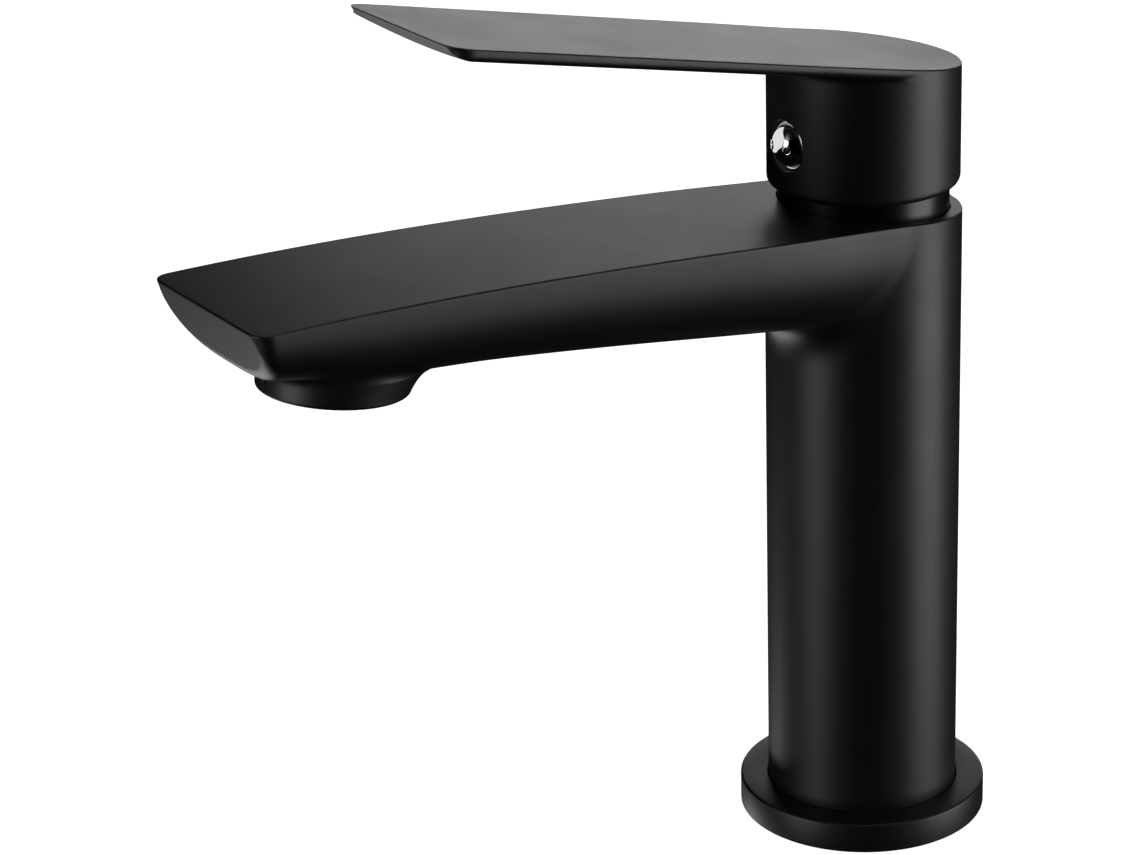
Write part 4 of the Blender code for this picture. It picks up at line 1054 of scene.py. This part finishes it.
def make_plug():
    """The chrome dome in its bore on the skirt: a low ellipse and a ring turned about the bore.

    Each dot lies in a raised rim on the dome, square to it, at height D sqrt(1 - (u / R)^2).
    """
    face = SKIRT_RADIUS - PLUG_SINK
    outline = [
        (DOME_RADIUS * math.sin(a), face + PLUG_DOME * math.cos(a), 0)
        for a in np.linspace(0, math.pi / 2, 26)
    ]
    ring = (PLUG_RADIUS - DOME_RADIUS) / 2
    outline += [
        (PLUG_RADIUS - ring + ring * math.cos(a), face + RING_RISE + ring * math.sin(a), 0)
        for a in np.linspace(math.pi * 0.95, 0, 14)
    ]
    outline += [
        (PLUG_RADIUS, face - PLUG_FOOT, 0), (PLUG_STUB_RADIUS, face - PLUG_FOOT, 0),
        (PLUG_STUB_RADIUS, PLUG_BACK, 0), (0, PLUG_BACK, 0),
    ]
    patches = [spun(softened(outline), frame_at((0, 0, PLUG_HEIGHT), (0, -1, 0)), 96)]
    for node, u, finish in (("hot_dot", -DOT_OFFSET, RED), ("cold_dot", DOT_OFFSET, BLUE)):
        rise = PLUG_DOME * math.sqrt(1 - (u / DOME_RADIUS) ** 2)
        square = (u / DOME_RADIUS ** 2, -rise / PLUG_DOME ** 2, 0)
        place = frame_at((u, -(face + rise), PLUG_HEIGHT), square)
        angle = np.linspace(0, 2 * math.pi, 13)[:-1]
        rim = [DOT_RADIUS + DOT_RIM * np.cos(angle), 0.8 * DOT_RIM * np.sin(angle)]
        patches.append(spun(np.stack(rim, 1), place, 40))
        button = [
            (DOT_RADIUS * math.sin(a), DOT_CROWN * math.cos(a) - DOT_SINK, 0)
            for a in np.linspace(0, math.pi / 2, 8)
        ]
        button += [(DOT_RADIUS, -DOT_DEPTH, 0), (0, -DOT_DEPTH, 0)]
        turned_piece(node, button, finish, "handle_unit", place, steps=40)
    piece("indicator_plug", patches, CHROME, "handle_unit", smooth_angle=TURNED_ANGLE)
    bore_front(lever, SKIRT_RADIUS, PLUG_HEIGHT, PLUG_RADIUS + PLUG_BORE_FIT, PLUG_SINK + FIT)


def make_fixing_set():
    """Threaded stud, long hexagon nut, and horseshoe gasket and washer, under the deck."""
    back = np.array([0, STUD_SETBACK, 0])
    bottom, top = foot_of("fixing_stud"), top_of("fixing_stud")
    thread = helix_rod(STUD_RADIUS, THREAD_DEPTH, THREAD_PITCH, bottom, top, THREAD_LEAD)
    piece("fixing_stud", [thread + back], STEEL, "root")
    low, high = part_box("fixing_nut")
    bore = STUD_RADIUS + 0.05 * MM
    nut = hex_nut(high[1] - low[1], bore, low[2], high[2], NUT_CHAMFER)
    piece("fixing_nut", [nut + back], BRASS, "root", smooth_angle=25)
    horseshoe_plate("horseshoe_gasket", CLAMP_SLOT, CLAMP_END, 0.4 * MM, RUBBER)
    horseshoe_plate("horseshoe_washer", CLAMP_SLOT, CLAMP_END, 0.3 * MM, STEEL)


make_plug()
make_fixing_set()

# ---------------------------------------------------------------- camera, floor and light
CAMERA_PLACE = (0.56011, -0.42210, 0.36574)
CAMERA_LENS = 114.67
CAMERA_SENSOR = 36
CAMERA_TURN = math.radians(57.958)  # about Z
CAMERA_PITCH = math.radians(21.717)  # down from the horizon
CAMERA_ROLL = math.radians(-1.689)


def make_camera():
    """A long lens from the lever's right, above, with a slight roll."""
    data = bpy.data.cameras.new("camera")
    camera = bpy.data.objects.new("camera", data)
    scene.collection.objects.link(camera)
    data.lens, data.sensor_width = CAMERA_LENS, CAMERA_SENSOR
    turn = Matrix.Rotation(CAMERA_TURN, 4, "Z")
    tilt = Matrix.Rotation(math.pi / 2 - CAMERA_PITCH, 4, "X")
    roll = Matrix.Rotation(CAMERA_ROLL, 4, "Z")
    camera.matrix_world = Matrix.Translation(CAMERA_PLACE) @ turn @ tilt @ roll
    scene.camera = camera


scene = bpy.context.scene
make_camera()
scene.view_settings.view_transform = "Standard"
world = bpy.data.worlds.new("room")
world.use_nodes = True
world.node_tree.nodes["Background"].inputs[0].default_value = (1, 1, 1, 1)
scene.world = world
world.cycles_visibility.diffuse = False
world.cycles_visibility.glossy = False


LIGHT_AIM = Vector((0.0, -0.04, 0.09))


def soft_box(name, azimuth, elevation, distance, size, power):
    """A rectangular area light, placed by direction from the faucet and turned to face it.

    Azimuth is counted from +X towards +Y, in degrees.
    """
    light = bpy.data.lights.new(name, "AREA")
    light.shape = "RECTANGLE"
    light.size, light.size_y = size
    light.energy = power
    lamp = bpy.data.objects.new(name, light)
    scene.collection.objects.link(lamp)
    a, e = math.radians(azimuth), math.radians(elevation)
    away = Vector((math.cos(a) * math.cos(e), math.sin(a) * math.cos(e), math.sin(e)))
    lamp.location = LIGHT_AIM + away * distance
    lamp.rotation_euler = away.to_track_quat("Z", "Y").to_euler()
    return lamp


soft_box("right_box", 46, -1, 1.2, (0.80, 1.1), 10)
soft_box("left_box", -92, -1, 1.2, (0.50, 1.1), 5.5)
soft_box("rear_box", 136, 7, 1.4, (1.0, 0.10), 2.7)
soft_box("low_box", -170, -44, 1.2, (0.6, 0.5), 2.2)
soft_box("top_box", 120, 82, 1.3, (1.0, 1.0), 3)
# A wide card that only the chrome plug receives, as the pale room in its reflection.
plug_card = soft_box("plug_card", -160, 15, 1.3, (3.2, 2.2), 20)
plug_only = bpy.data.collections.new("plug_only")
plug_only.objects.link(bpy.data.objects["indicator_plug_form"])
plug_card.light_linking.receiver_collection = plug_only


def white_floor():
    """A wide pale deck under the foot that stays evenly white."""
    side = 6.0
    level = foot_of("foot_ring") - 0.1 * MM
    mesh = bpy.data.meshes.new("floor")
    corners = [(-side, -side, level), (side, -side, level), (side, side, level), (-side, side, level)]
    mesh.from_pydata(corners, [], [(0, 1, 2, 3)])
    floor = bpy.data.objects.new("floor", mesh)
    scene.collection.objects.link(floor)
    material = bpy.data.materials.new("white_sweep")
    material.use_nodes = True
    shader = material.node_tree.nodes["Principled BSDF"]
    shader.inputs["Base Color"].default_value = linear("#f4f4f4")
    shader.inputs["Roughness"].default_value = 0.9
    shader.inputs["Emission Color"].default_value = (1, 1, 1, 1)
    shader.inputs["Emission Strength"].default_value = 1.0
    mesh.materials.append(material)
    floor.visible_diffuse = False
    floor.visible_glossy = False
    floor.visible_shadow = False


white_floor()
